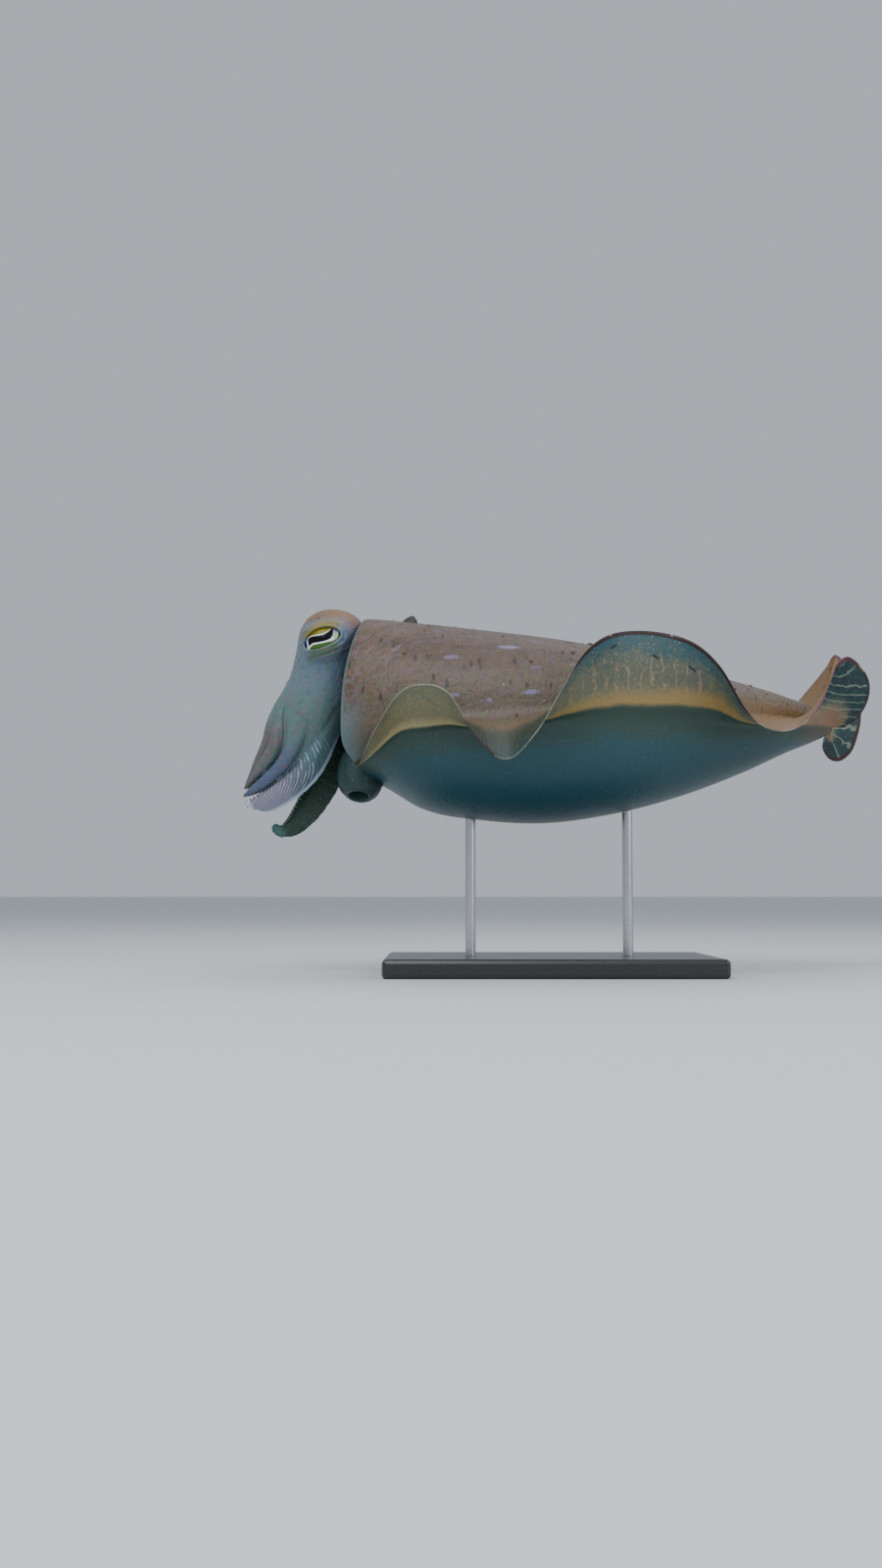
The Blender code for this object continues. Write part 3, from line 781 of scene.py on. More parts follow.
@dataclass
class Skin:
    """The one skin over the mantle, fins, head, arms and funnel."""

    mantle: Mantle
    fins: dict[Side, Fin]
    crown: Crown
    arms: list[CrownArm]
    hanging: HangingArm
    funnel: Funnel
    eye: Eye
    rings: int = 190
    back_columns: int = 30
    belly_columns: int = 22
    spacing: float = 1.25
    even_share: float = 0.45
    lip_round: float = 2.0
    lip_depth: float = 14.0
    fillet_reach: int = 5
    fillet_rounds: int = 8
    head_columns: int = 96
    voxel: float = 0.86
    head_share: float = 0.36
    least_part: int = 1000
    web: Stations = ((50, 0.99), (78, 0.99), (92, 0.96), (104, 0.9), (118, 0.8), (134, 0.62), (142, 0.5))
    rear_web: Stations = ((50, 0.99), (64, 0.97), (78, 0.86), (92, 0.76), (110, 0.66), (142, 0.5))

    def build(self) -> Object:
        """Makes the whole skin as one object, with the values that its finish reads."""
        body, flat, fin = self.body()
        head, parts = self.head()
        shape = bmesh.new()
        for mesh in (body, head):
            shape.from_mesh(mesh)
        mesh = bpy.data.meshes.new("skin")
        shape.to_mesh(mesh)
        shape.free()
        mesh.shade_smooth()
        points = points_of(mesh)
        crown = self.crown.coordinates(points[len(flat):])
        off_head, off_body = np.zeros(crown.shape), np.zeros(flat.shape)
        for name, on_body, on_head in (
            ("flat", flat, off_head), ("fin", fin, off_head), ("crown", off_body, crown),
            ("parts", off_body, parts),
        ):
            give_values(mesh, name, np.vstack((on_body, on_head)))
        give_values(mesh, "on_head", np.repeat((0.0, 1.0), (len(flat), len(crown))))
        return placed(bpy.data.objects.new("skin", mesh))

    def ring_places(self) -> Array:
        """Places of the sections along X, closer where the fins' rays are closer."""
        x = np.linspace(self.mantle.lip_side_x + self.lip_round, self.mantle.tail_x, 3000)
        density = sum(fin.place_at(x) / (len(fin.rays) - 1) for fin in self.fins.values())
        density = density / 2 + self.even_share * (x - x[0]) / (x[-1] - x[0])
        return np.interp(np.linspace(density[0], density[-1], self.rings), density, x)

    def half_section(self, side: Side, share: Array) -> tuple[Array, ...]:
        """One side of every section, from the back over the fin to the belly.

        Args:
            side: Which side of the animal.
            share: Each section's share of the way from the lip to the tail.

        Returns:
            Points by section, column and axis; at each the run along the root, the girth from the root and
            the distance from the lip; at each the fin's share, 0 over and 1 under it, and the fin's length;
            and each one's degrees round the mantle.
        """
        mantle, fin = self.mantle, self.fins[side]
        first_x = mantle.lip_side_x + self.lip_round
        root_x = first_x + (mantle.tail_x - first_x) * share
        for _ in range(4):
            lip = mantle.lip_x(fin.angle_of(root_x)) + self.lip_round
            root_x = lip + (mantle.tail_x - lip) * share
        root = fin.angle_of(root_x)
        upper, lower, edge = fin.sheets(np.maximum(root_x, fin.first_x))
        near = mantle.point(root_x, root + 1, side.value) - mantle.point(root_x, root - 1, side.value)
        reach = np.linalg.norm(near, axis=1) / 2
        half = np.linalg.norm(upper[:, 0] - lower[:, 0], axis=1) / 2 / reach
        run = np.linspace(0, 1, self.back_columns + 1)
        back = root[:, None] + half[:, None] + (90 - root - half)[:, None] * (1 - run) ** self.spacing
        run = np.linspace(0, 1, self.belly_columns + 1)
        belly = root[:, None] - half[:, None] - (90 + root - half)[:, None] * run**self.spacing
        steps = np.linspace(0, 1, fin.steps + 1)
        over = root[:, None] + half[:, None] * (1 - steps)
        angles = np.concatenate(
            (back[:, :-1], over, root[:, None], 2 * root[:, None] - over[:, ::-1], belly[:, 1:]), 1
        )
        lip = mantle.lip_x(angles) + self.lip_round
        on_mantle = mantle.point(lip + (mantle.tail_x - lip) * share[:, None], angles, side.value)
        fin_points = np.concatenate((upper, edge[:, None], lower[:, ::-1]), 1)
        first, last = self.back_columns, self.back_columns + fin_points.shape[1]
        grown = eased(root_x, fin.merge_x, fin.first_x + 3)[:, None, None]
        points = on_mantle.copy()
        shift = root_x - np.maximum(root_x, fin.first_x)
        fin_points = fin_points + np.stack((shift, 0 * shift, 0 * shift), 1)[:, None]
        points[:, first:last] += grown * (fin_points - on_mantle[:, first:last])
        for junction in (first, last - 1):
            points = self.filleted(points, junction)
        fin_share = np.zeros(angles.shape)
        fin_share[:, first:last] = np.concatenate((steps, (1.0,), steps[::-1])) * grown[:, :, 0]
        under = np.zeros(angles.shape)
        under[:, (first + last) // 2:] = 1
        gaps = np.linalg.norm(np.diff(points, axis=1), axis=2)
        run = np.concatenate((np.zeros((len(points), 1)), np.cumsum(gaps, 1)), 1)
        girth = np.where(under > 0, run[:, last - 1:last] - run, run[:, first:first + 1] - run)
        root = np.repeat(root_x[:, None], angles.shape[1], 1)
        along = np.where(fin_share > 0, root, lip + (mantle.tail_x - lip) * share[:, None])
        length = np.repeat(
            (fin.length_of(fin.place_at(root_x)) * grown[:, 0, 0])[:, None], angles.shape[1], 1
        )
        flat = np.stack((along, girth, self.lip_round + (mantle.tail_x - lip) * share[:, None]), -1)
        return points, flat, np.stack((fin_share, under, length), -1), angles

    def filleted(self, points: Array, junction: int) -> Array:
        """Rounds the fold where a fin meets the mantle.

        Args:
            points: Points by section, column and axis.
            junction: The column of the fold.

        Returns:
            The points, moved towards their neighbours near the fold.
        """
        columns = np.arange(points.shape[1])
        weight = 0.5 * np.clip(1 - np.abs(columns - junction) / self.fillet_reach, 0, 1)
        weight = weight[None, 1:-1, None]
        for _ in range(self.fillet_rounds):
            middle = (points[:, :-2] + points[:, 2:]) / 2
            points[:, 1:-1] += weight * (middle - points[:, 1:-1])
        return points

    def body(self) -> tuple[Mesh, Array, Array]:
        """The mantle with both fins, as one closed mesh.

        Returns:
            The mesh, its points' run, girth and distance from the lip, and their fin values.
        """
        mantle = self.mantle
        x = self.ring_places()
        share = (x - x[0]) / (x[-1] - x[0])
        left_half, right_half = (self.half_section(side, share) for side in (Side.LEFT, Side.RIGHT))
        columns = left_half[0].shape[1]
        loop, flat, fin, turned = (
            np.concatenate((left, right[:, -2:0:-1]), 1) for left, right in zip(left_half, right_half)
        )
        count = loop.shape[1]
        angles = turned[0]
        sides = np.where(np.arange(count) < columns, Side.LEFT.value, Side.RIGHT.value)
        lip = []
        half = mantle.lip_thickness / 2
        for turn in np.linspace(0, math.pi, 7)[1:]:
            ahead = self.lip_round - self.lip_round * math.sin(turn) + 0.3 * (1 - math.cos(turn))
            lip.append((ahead, half * (1 - math.cos(turn))))
        lip += [(6, mantle.lip_thickness), (self.lip_depth, mantle.lip_thickness + 0.5)]
        inner = [self.lip_ring(mantle.lip_x(angles) + step, angles, sides, inset) for step, inset in lip]
        for step in (0.4, 0.7, 1.0):
            ahead = mantle.lip_x(angles) + self.lip_depth
            inner.append(self.lip_ring(
                ahead + step * (mantle.cavity_floor_x - ahead), angles, sides,
                mantle.lip_thickness + (mantle.cavity_inset - mantle.lip_thickness) * step,
            ))
        shape = Shape()
        grid = np.concatenate((np.array(inner)[::-1], loop))
        rows = len(grid)
        faces = ring_faces(rows, count)
        edge = self.back_columns + self.fins[Side.LEFT].steps + 1
        for start in (0, (rows - 1) * count):
            for step in range(-edge, edge):
                above, below = step, 2 * edge - step
                faces.append(tuple(start + k % count for k in (above, above + 1, below - 1, below)))
        shape.add(grid.reshape(-1, 3), [tuple(dict.fromkeys(face)) for face in faces])
        values = []
        for facts in (flat, fin):
            lead = np.repeat(facts[:1], len(inner), 0)
            values.append(np.concatenate((lead, facts)))
        values[0][:len(inner), :, 2] = np.linspace(-20, 1, len(inner))[:, None]
        return shape.mesh("skin_body"), *(facts.reshape(-1, 3) for facts in values)

    def lip_ring(self, x: Array, angles: Array, sides: Array, inset: float) -> Array:
        """One ring of the mantle's turned-in front.

        Args:
            x: Each point's place along X.
            angles: Its degrees round the mantle.
            sides: The sign of its Y.
            inset: How far inside the outline it lies.

        Returns:
            The ring's points.
        """
        left = self.mantle.point(x, angles, Side.LEFT.value, inset)
        left[:, 1] *= np.where(sides < 0, 1, -1)
        return left

    def head(self) -> tuple[Mesh, Array]:
        """The head, neck, arms and funnel, melted into one closed mesh.

        Returns:
            The mesh, and how far each of its points is leaf, free arm or funnel.
        """
        dome = Shape()
        places = np.concatenate((
            self.crown.dome * (1 - np.cos(np.radians(np.arange(4, 88, 3)))),
            np.linspace(self.crown.dome, 74, 26),
        ))
        dome.tube(self.crown.rings(places, self.head_columns, self.eye))
        head = dome.piece("head_form")
        parts = Shape()
        for side in Side:
            self.open_eye(head, side, parts)
        webs = Curve(self.web), Curve(self.rear_web)
        places = np.linspace(self.web[0][0], self.web[-1][0], 40)
        parts.tube(self.crown.rings(places, self.head_columns, self.eye, webs))
        parts.tube(self.funnel.tube(self.funnel.neck))
        for arm in self.arms:
            if arm.number != 4:
                parts.tube(arm.rings())
        ends = [parts.count]
        parts.tube([ring for arm in self.arms if arm.number == 4 for ring in arm.rings()])
        ends.append(parts.count)
        parts.tube(self.hanging.rings())
        ends.append(parts.count)
        parts.tube(self.funnel.rings())
        forms = np.vstack(parts.points)
        kinds = np.searchsorted(ends, np.arange(len(forms)), "right")
        joined = bmesh.new()
        joined.from_mesh(head.data)
        joined.from_mesh(parts.mesh("parts_form"))
        joined.to_mesh(head.data)
        joined.free()
        melt = head.modifiers.new("melt", "REMESH")
        melt.mode = "VOXEL"
        melt.voxel_size = self.voxel * MM
        soft = head.modifiers.new("soft", "SMOOTH")
        soft.factor, soft.iterations = 0.5, 3
        thin = head.modifiers.new("thin", "DECIMATE")
        thin.ratio = self.head_share
        mesh = settle(head)
        bpy.data.objects.remove(head)
        self.drop_scraps(mesh)
        return mesh, self.kinds_near(mesh, forms, kinds)

    def drop_scraps(self, mesh: Mesh) -> None:
        """Removes the small loose parts of a mesh.

        Args:
            mesh: The mesh, which is changed.
        """
        shape = bmesh.new()
        shape.from_mesh(mesh)
        left = set(shape.verts)
        parts = []
        while left:
            part = [left.pop()]
            for point in part:
                for edge in point.link_edges:
                    other = edge.other_vert(point)
                    if other in left:
                        left.discard(other)
                        part.append(other)
            parts.append(part)
        scraps = [point for part in parts if len(part) < self.least_part for point in part]
        bmesh.ops.delete(shape, geom=scraps, context="VERTS")
        shape.to_mesh(mesh)
        shape.free()

    def kinds_near(self, mesh: Mesh, forms: Array, kinds: Array) -> Array:
        """How far each point of the head is leaf, free arm or funnel, softened across their borders.

        Args:
            mesh: The melted head.
            forms: Points of the forms that it was melted from.
            kinds: The kind of each of those points, 0 where it is plain head or arm.

        Returns:
            Rows of three shares.
        """
        tree = KDTree(len(forms))
        for number, point in enumerate(forms):
            tree.insert(point, number)
        tree.balance()
        nearest = [tree.find(point)[1] for point in points_of(mesh)]
        shares = np.eye(4)[kinds[nearest]][:, 1:]
        edges = np.empty(len(mesh.edges) * 2, np.int32)
        mesh.edges.foreach_get("vertices", edges)
        ends = np.concatenate((edges.reshape(-1, 2), edges.reshape(-1, 2)[:, ::-1]))
        count = np.bincount(ends[:, 0], minlength=len(shares))[:, None]
        for _ in range(4):
            near = np.stack([
                np.bincount(ends[:, 0], share[ends[:, 1]], len(shares)) for share in shares.T
            ], 1)
            shares = (shares + near / np.maximum(count, 1)) / 2
        return shares

    def open_eye(self, head: Object, side: Side, parts: Shape) -> None:
        """Raises a lid over one eyeball and cuts the opening that the eye looks through.

        Args:
            head: The head's form, which is changed.
            side: Which eye.
            parts: The forms that are melted into the head, which gain the folds round the lid.
        """
        eye = self.eye
        middle, long, tall, out = eye.frame(side)
        lid, cutter = Shape(), Shape()
        turn = around(64)
        reach = np.outer(np.cos(turn), long), np.outer(np.sin(turn), tall)
        rings = []
        for level in np.radians(np.arange(-86, 87, 4)):
            ring = (reach[0] + reach[1]) * math.cos(level) + math.sin(level) * out
            rings.append(middle + (eye.radius + eye.lid_thickness) * ring)
        lid.tube(rings)
        oval = eye.opening_long * reach[0] + eye.opening_tall * reach[1]
        cutter.tube([middle + oval + level * out for level in eye.cut])
        for form, operation in ((lid, "UNION"), (cutter, "DIFFERENCE")):
            piece = form.piece("eye_form")
            cut = head.modifiers.new("eye", "BOOLEAN")
            cut.operation = operation
            cut.object = piece
            cut.solver = "EXACT"
            settle(head)
            bpy.data.objects.remove(piece)
            if form is lid:
                for fold in eye.folds:
                    parts.tube(self.fold(head, side, fold))

    def fold(self, head: Object, side: Side, shape: tuple[float, ...]) -> list[Array]:
        """Rings of a fold of skin that follows the eye's opening.

        Args:
            head: The head's form, which the fold lies on.
            side: Which eye.
            shape: How many times as wide as the opening the fold is, where it starts and ends in degrees
                round the opening, and its greatest radius.

        Returns:
            The rings.
        """
        wide, first, last, thick = shape
        middle, long, tall, out = self.eye.frame(side)
        turns = np.radians(np.linspace(first, last, 60))
        reach = np.outer(self.eye.opening_long * np.cos(turns), long)
        aims = middle + wide * (reach + np.outer(self.eye.opening_tall * np.sin(turns), tall))
        path = []
        for aim in aims:
            found, place, *_ = head.ray_cast(Vector((aim + self.eye.clear * out) * MM), Vector(-out))
            path.append(np.array(place) / MM if found else aim)
        path = np.array(path)
        ways = np.gradient(path, axis=0)
        taper = np.sqrt(np.clip(np.sin(np.linspace(0.04, math.pi - 0.04, len(path))) * 1.6, 0, 1))
        if last - first >= 360:
            taper[:] = 1
        round_it = around(12)
        rings = []
        for place, way, share in zip(path, ways, taper):
            way = unit(way)
            across = unit(np.cross(way, out))
            up = np.cross(across, way)
            ring = np.outer(np.cos(round_it), across) + np.outer(np.sin(round_it), up)
            rings.append(place - 0.25 * thick * out + thick * share * ring)
        return rings


Number = "Value | float"


def tone(red: float, green: float, blue: float) -> Colour:
    """A colour given in screen numbers from 0 to 255, as Blender's linear colour."""
    shares = (number / 255 for number in (red, green, blue))
    return *(s / 12.92 if s <= 0.04045 else ((s + 0.055) / 1.055) ** 2.4 for s in shares), 1.0


def math_node(operation: str, swapped: bool = False) -> Callable[..., "Value"]:
    """A method of a node's number that adds one Math node.

    Args:
        operation: The Math node's operation.
        swapped: Whether the other number comes first.

    Returns:
        The method.
    """
    def method(value: "Value", *others: Number) -> "Value":
        """Adds the Math node."""
        return value.graph.maths(operation, *((*others, value) if swapped else (value, *others)))

    return method


class Value:
    """A number in a node tree, which Python's operators carry on with Math nodes."""

    def __init__(self, graph: "Graph", socket: NodeSocket) -> None:
        """Keeps the node tree and the socket that gives the number."""
        self.graph = graph
        self.socket = socket

    __add__ = __radd__ = math_node("ADD")
    __sub__ = math_node("SUBTRACT")
    __rsub__ = math_node("SUBTRACT", swapped=True)
    __mul__ = __rmul__ = math_node("MULTIPLY")
    __truediv__ = math_node("DIVIDE")
    __pow__ = math_node("POWER")
    sine = math_node("SINE")
    size = math_node("ABSOLUTE")
    most = math_node("MAXIMUM")
    least = math_node("MINIMUM")

    def rise(self, low: float, high: float) -> "Value":
        """A smooth step.

        Args:
            low: Where it is 0.
            high: Where it is 1, which may be the smaller of the two.

        Returns:
            The step.
        """
        if low > high:
            return 1 - self.rise(high, low)
        made = self.graph.node("ShaderNodeMapRange", {"interpolation_type": "SMOOTHSTEP"}, {
            0: self, 1: low, 2: high, 3: 0.0, 4: 1.0,
        })
        return Value(self.graph, made.outputs[0])

    def band(self, low: float, high: float, soft: float) -> "Value":
        """1 between low and high, falling to 0 over a soft edge on both sides."""
        return self.rise(low - soft, low + soft) * self.rise(high + soft, high - soft)

    def along(self, stations: Stations, mode: str = "LINEAR") -> "Value":
        """What a chain of stations gives at this value.

        Args:
            stations: Rows of a place and an amount from 0 to 1.
            mode: How it goes from station to station.

        Returns:
            The amount.
        """
        first, last = stations[0][0], stations[-1][0]
        scaled = (self - first) / (last - first)
        stops = [
            ((place - first) / (last - first), (amount, amount, amount, 1))
            for place, amount in stations
        ]
        return Value(self.graph, self.graph.ramp(scaled, stops, mode).socket)


class Tint:
    """A colour in a finish."""

    def __init__(self, paint: "Paint", socket: NodeSocket) -> None:
        """Keeps the finish and the socket that gives the colour."""
        self.paint = paint
        self.socket = socket

    def under(self, over: "Tint | tuple", mask: Number) -> "Tint":
        """This colour with another laid over it where the mask is 1."""
        return self.paint.mixed(mask, self, over)

    def layered(self, *layers: "tuple[Tint | tuple, Number]") -> "Tint":
        """This colour with each (colour, mask) pair laid over it in turn."""
        return reduce(lambda below, layer: below.under(*layer), layers, self)


class Graph:
    """A node tree in the making."""

    def __init__(self, tree: NodeTree) -> None:
        """Keeps the tree."""
        self.tree = tree

    def node(self, kind: str, settings: dict, inputs: dict) -> Node:
        """Adds a node.

        Args:
            kind: The node's type.
            settings: What is set on it first, such as a Math node's operation.
            inputs: A value, a link or a colour for each of its sockets, by name or number.

        Returns:
            The node.
        """
        made = self.tree.nodes.new(kind)
        for name, value in settings.items():
            setattr(made, name, value)
        for key, value in inputs.items():
            self.feed(made.inputs[key], value)
        return made

    def feed(self, socket: NodeSocket, value: "Value | Tint | float | tuple") -> None:
        """Links or sets one socket."""
        if isinstance(value, (Value, Tint)):
            self.tree.links.new(value.socket, socket)
        elif isinstance(value, NodeSocket):
            self.tree.links.new(value, socket)
        else:
            socket.default_value = value

    def maths(self, operation: str, *values: Number) -> Value:
        """A Math node on one, two or three numbers."""
        made = self.node("ShaderNodeMath", {"operation": operation}, dict(enumerate(values)))
        return Value(self, made.outputs[0])

    def vector(self, x: Number, y: Number, z: Number = 0.0) -> NodeSocket:
        """A vector of three numbers."""
        return self.node("ShaderNodeCombineXYZ", {}, {0: x, 1: y, 2: z}).outputs[0]


class Paint(Graph):
    """A finish in the making: a material and the nodes that colour it."""

    def __init__(self, name: str) -> None:
        """Makes a material with one Principled shader.

        Args:
            name: The material's name.
        """
        self.material = bpy.data.materials.new(name)
        self.material.use_nodes = True
        super().__init__(self.material.node_tree)
        self.shader = self.tree.nodes["Principled BSDF"]

    def mixed(self, mask: Number, first: "Tint | tuple", second: "Tint | tuple") -> Tint:
        """A Mix node on two colours."""
        made = self.node("ShaderNodeMix", {"data_type": "RGBA"}, {0: mask, 6: first, 7: second})
        return Tint(self, made.outputs[2])

    def ramp(self, value: Value, stops: Sequence[tuple[float, tuple]], mode: str = "LINEAR") -> Tint:
        """A colour ramp.

        Args:
            value: What the ramp reads, from 0 to 1.
            stops: The place and the colour of each stop, in order.
            mode: How it goes from stop to stop.

        Returns:
            The colour.
        """
        made = self.node("ShaderNodeValToRGB", {}, {0: value})
        made.color_ramp.interpolation = mode
        marks = made.color_ramp.elements
        for mark, (place, colour) in zip((marks[0], marks[1]), (stops[0], stops[-1])):
            mark.position, mark.color = place, colour
        for place, colour in stops[1:-1]:
            marks.new(place).color = colour
        return Tint(self, made.outputs[0])

    def plain(self, colour: tuple) -> Tint:
        """One colour, as the start of a chain of mixes."""
        return self.mixed(0.0, colour, colour)

    def split(self, vector: NodeSocket) -> tuple[Value, ...]:
        """The three numbers of a vector."""
        return tuple(Value(self, out) for out in self.node("ShaderNodeSeparateXYZ", {}, {0: vector}).outputs)

    def parts(self, name: str) -> tuple[Value, ...]:
        """The three numbers of a vector that the mesh carries."""
        return self.split(self.node("ShaderNodeAttribute", {"attribute_name": name}, {}).outputs["Vector"])

    def place(self) -> tuple[Value, ...]:
        """X, Y and Z of the surface, in millimetres."""
        split = self.split(self.node("ShaderNodeTexCoord", {}, {}).outputs["Object"])
        return tuple(metres * 1000 for metres in split)

    def noise(
        self, where: tuple[Number, ...], detail: float = 3.0, rough: float = 0.6, warp: float = 0.0
    ) -> Value:
        """Soft noise.

        Args:
            where: Three numbers, in which 1 is the size of the lumps.
            detail: How many finer layers it has.
            rough: How strong they are.
            warp: How far they are pulled about.

        Returns:
            A value from 0 to 1.
        """
        made = self.node("ShaderNodeTexNoise", {}, {
            "Vector": self.vector(*where), "Scale": 1.0, "Detail": detail, "Roughness": rough,
            "Distortion": warp,
        })
        return Value(self, made.outputs[0])

    def cells(self, where: tuple[Number, ...]) -> tuple[Value, Value]:
        """Scattered points.

        Args:
            where: Three numbers, in which 1 is about the points' spacing.

        Returns:
            The distance to the nearest point, and that point's own random number.
        """
        made = self.node("ShaderNodeTexVoronoi", {}, {"Vector": self.vector(*where), "Scale": 1.0})
        split = self.node("ShaderNodeSeparateColor", {}, {0: made.outputs["Color"]})
        return Value(self, made.outputs["Distance"]), Value(self, split.outputs[0])

    def bump(self, height: Value, strength: float, depth: float) -> NodeSocket:
        """The surface's normal, raised and sunk by a height in units of depth, in millimetres."""
        inputs = {"Height": height, "Strength": strength, "Distance": depth * MM}
        return self.node("ShaderNodeBump", {}, inputs).outputs[0]

    def finish(self, sockets: dict) -> Material:
        """Sets the shader's own sockets and returns the material."""
        for name, value in sockets.items():
            self.feed(self.shader.inputs[name], value)
        return self.material


@dataclass(frozen=True)
class Spot:
    """An oval mark: its place along and up the skin, its half sizes, its slant and its strength."""

    run: float
    rise: float
    long: float
    tall: float
    slant: float = 0.0
    strong: float = 1.0

    def reach(self, run: Value, rise: Value) -> Value:
        """The squared distance from its middle, 1 at its edge.

        Args:
            run: Millimetres along the skin.
            rise: The same up it, or a share of the fin.

        Returns:
            1 at the mark's edge and 0 at its middle, squared.
        """
        across = run - self.run
        up = rise - self.rise
        return ((across + up * self.slant) / self.long) ** 2 + (up / self.tall) ** 2


class Reading(NamedTuple):
    """What the body's patterns read at each point of the skin.

    run and girth are millimetres along the body and from the fin's root, share goes from 0 at the fin's
    root to 1 at its edge, length is the fin's length, and side is -1 on the left and 1 on the right.
    """

    paint: Paint
    run: Value
    girth: Value
    share: Value
    length: Value
    side: Value


@dataclass(frozen=True)
class SkinFinish:
    """The animal's skin: brown back, banded fins, blue-green belly, grey-blue head and pale leaf arm; the
    belly, funnel, hanging arm, neck, arm groove and mantle opening carry painted shade.
    """

    eye: Eye = Eye()
    back: Colour = tone(92, 70, 56)
    back_dark: Colour = tone(70, 54, 48)
    back_olive: Colour = tone(72, 76, 50)
    back_warm: Colour = tone(128, 90, 66)
    back_mauve: Colour = tone(104, 80, 92)
    back_green: Colour = tone(84, 92, 70)
    back_shade: Colour = tone(58, 36, 34)
    flank: Colour = tone(98, 88, 74)
    lilac: Colour = tone(128, 118, 156)
    dash_red: Colour = tone(52, 22, 26)
    dash_green: Colour = tone(30, 52, 42)
    # The belly's colours carry painted shade: dark blue-green, nearly black at the bottom.
    belly_top: Colour = tone(46, 68, 58)
    belly: Colour = tone(30, 74, 84)
    belly_low: Colour = tone(22, 66, 78)
    belly_shade_bottom: Colour = tone(6, 32, 38)
    tail_root: Colour = tone(84, 66, 54)
    band: Colour = tone(158, 128, 74)
    band_pale: Colour = tone(166, 154, 112)
    band_deep: Colour = tone(128, 94, 46)
    membrane: Colour = tone(120, 117, 84)
    membrane_teal: Colour = tone(28, 80, 92)
    membrane_grey: Colour = tone(94, 96, 80)
    streak: Colour = tone(164, 142, 112)
    fin_olive: Colour = tone(33, 48, 32)
    tail_yellow: Colour = tone(112, 84, 46)
    lobe_dark: Colour = tone(24, 46, 48)
    lobe_line: Colour = tone(132, 142, 126)
    rim_dark: Colour = tone(48, 20, 18)
    rim_purple: Colour = tone(98, 48, 58)
    rim_pale: Colour = tone(158, 160, 140)
    lip: Colour = tone(88, 116, 122)
    crown_top: Colour = tone(120, 82, 36)
    crown_red: Colour = tone(110, 54, 44)
    olive: Colour = tone(124, 112, 18)
    green: Colour = tone(70, 96, 50)
    cheek: Colour = tone(96, 122, 140)
    web: Colour = tone(84, 114, 114)
    neck: Colour = tone(62, 58, 92)
    front_arms: Colour = tone(94, 88, 92)
    pink: Colour = tone(124, 96, 108)
    arm_lilac: Colour = tone(72, 84, 122)
    leaf: Colour = tone(76, 106, 112)
    leaf_pink: Colour = tone(122, 110, 130)
    leaf_rim: Colour = tone(186, 208, 232)
    # free_arm and funnel are darkened with painted shade.
    free_arm: Colour = tone(34, 58, 46)
    free_tip: Colour = tone(60, 104, 98)
    funnel: Colour = tone(34, 58, 56)
    # dark also paints shade inside the mantle's opening and down the groove between the arms.
    dark: Colour = tone(14, 18, 22)
    keel_angle: float = 109.0
    front_groove: Stations = ((0, 50), (90, 47), (96, 50), (106, 60), (117, 69), (126, 73), (175, 75))
    spots: tuple[Spot, ...] = (
        Spot(-33, 58, 8, 2.4), Spot(-75, 47, 6, 2.2, 0.5, 0.6), Spot(-116, 65, 3.5, 1.8, 0, 0.4),
        Spot(-18, 14, 6.5, 2), Spot(-73, 15, 4.5, 1.6, -0.3, 0.8), Spot(-48, 10, 2.4, 2, 0.5, 0.7),
        Spot(-12, 69, 4, 1.5, 0, 0.4), Spot(14, 36, 3.5, 1.4, 0, 0.5), Spot(-14, 35, 4, 1.4, 0, 0.4),
        Spot(-113, 117, 4, 2, 0, 0.5), Spot(-92, 116, 3.5, 1.8, 0, 0.5),
        Spot(-85, 83, 3.5, 1.6, 0, 0.4), Spot(-53, 110, 5, 2, 0, 0.6), Spot(30, 96, 5, 2, 0, 0.5),
        Spot(68, 72, 4, 1.6, 0, 0.4), Spot(-20, 121, 5, 2, 0, 0.5),
    )
    fin_marks: tuple[Spot, ...] = (
        Spot(39, 0.85, 2.2, 0.024, -70), Spot(70, 0.71, 2.2, 0.024, 70), Spot(96, 0.68, 2.2, 0.024, 70),
    )

    def make(self) -> Material:
        """Makes the material."""
        paint = Paint("skin")
        x, y, z = paint.place()
        on_head = paint.node("ShaderNodeAttribute", {"attribute_name": "on_head"}, {}).outputs["Fac"]
        on_head = Value(paint, on_head)
        body, body_relief = self.body(paint, y)
        head, head_relief = self.head(paint, x, y, z)
        fine = paint.noise((x / 1.2, y / 1.2, z / 1.2), 2, 0.6)
        lumps = paint.noise((x / 4.5, y / 4.5, z / 4.5), 2, 0.5)
        relief = body_relief * (1 - on_head) + head_relief * on_head
        bump = paint.bump(relief + 0.4 * fine + 0.6 * lumps, 0.6, 1.0)
        rough = 0.45 + 0.16 * (lumps - 0.5) + 0.10 * (fine - 0.5)
        return paint.finish({
            "Base Color": body.under(head, on_head), "Roughness": rough, "Normal": bump,
            "Specular IOR Level": 0.35, "Coat Weight": 0.1, "Coat Roughness": 0.3,
        })

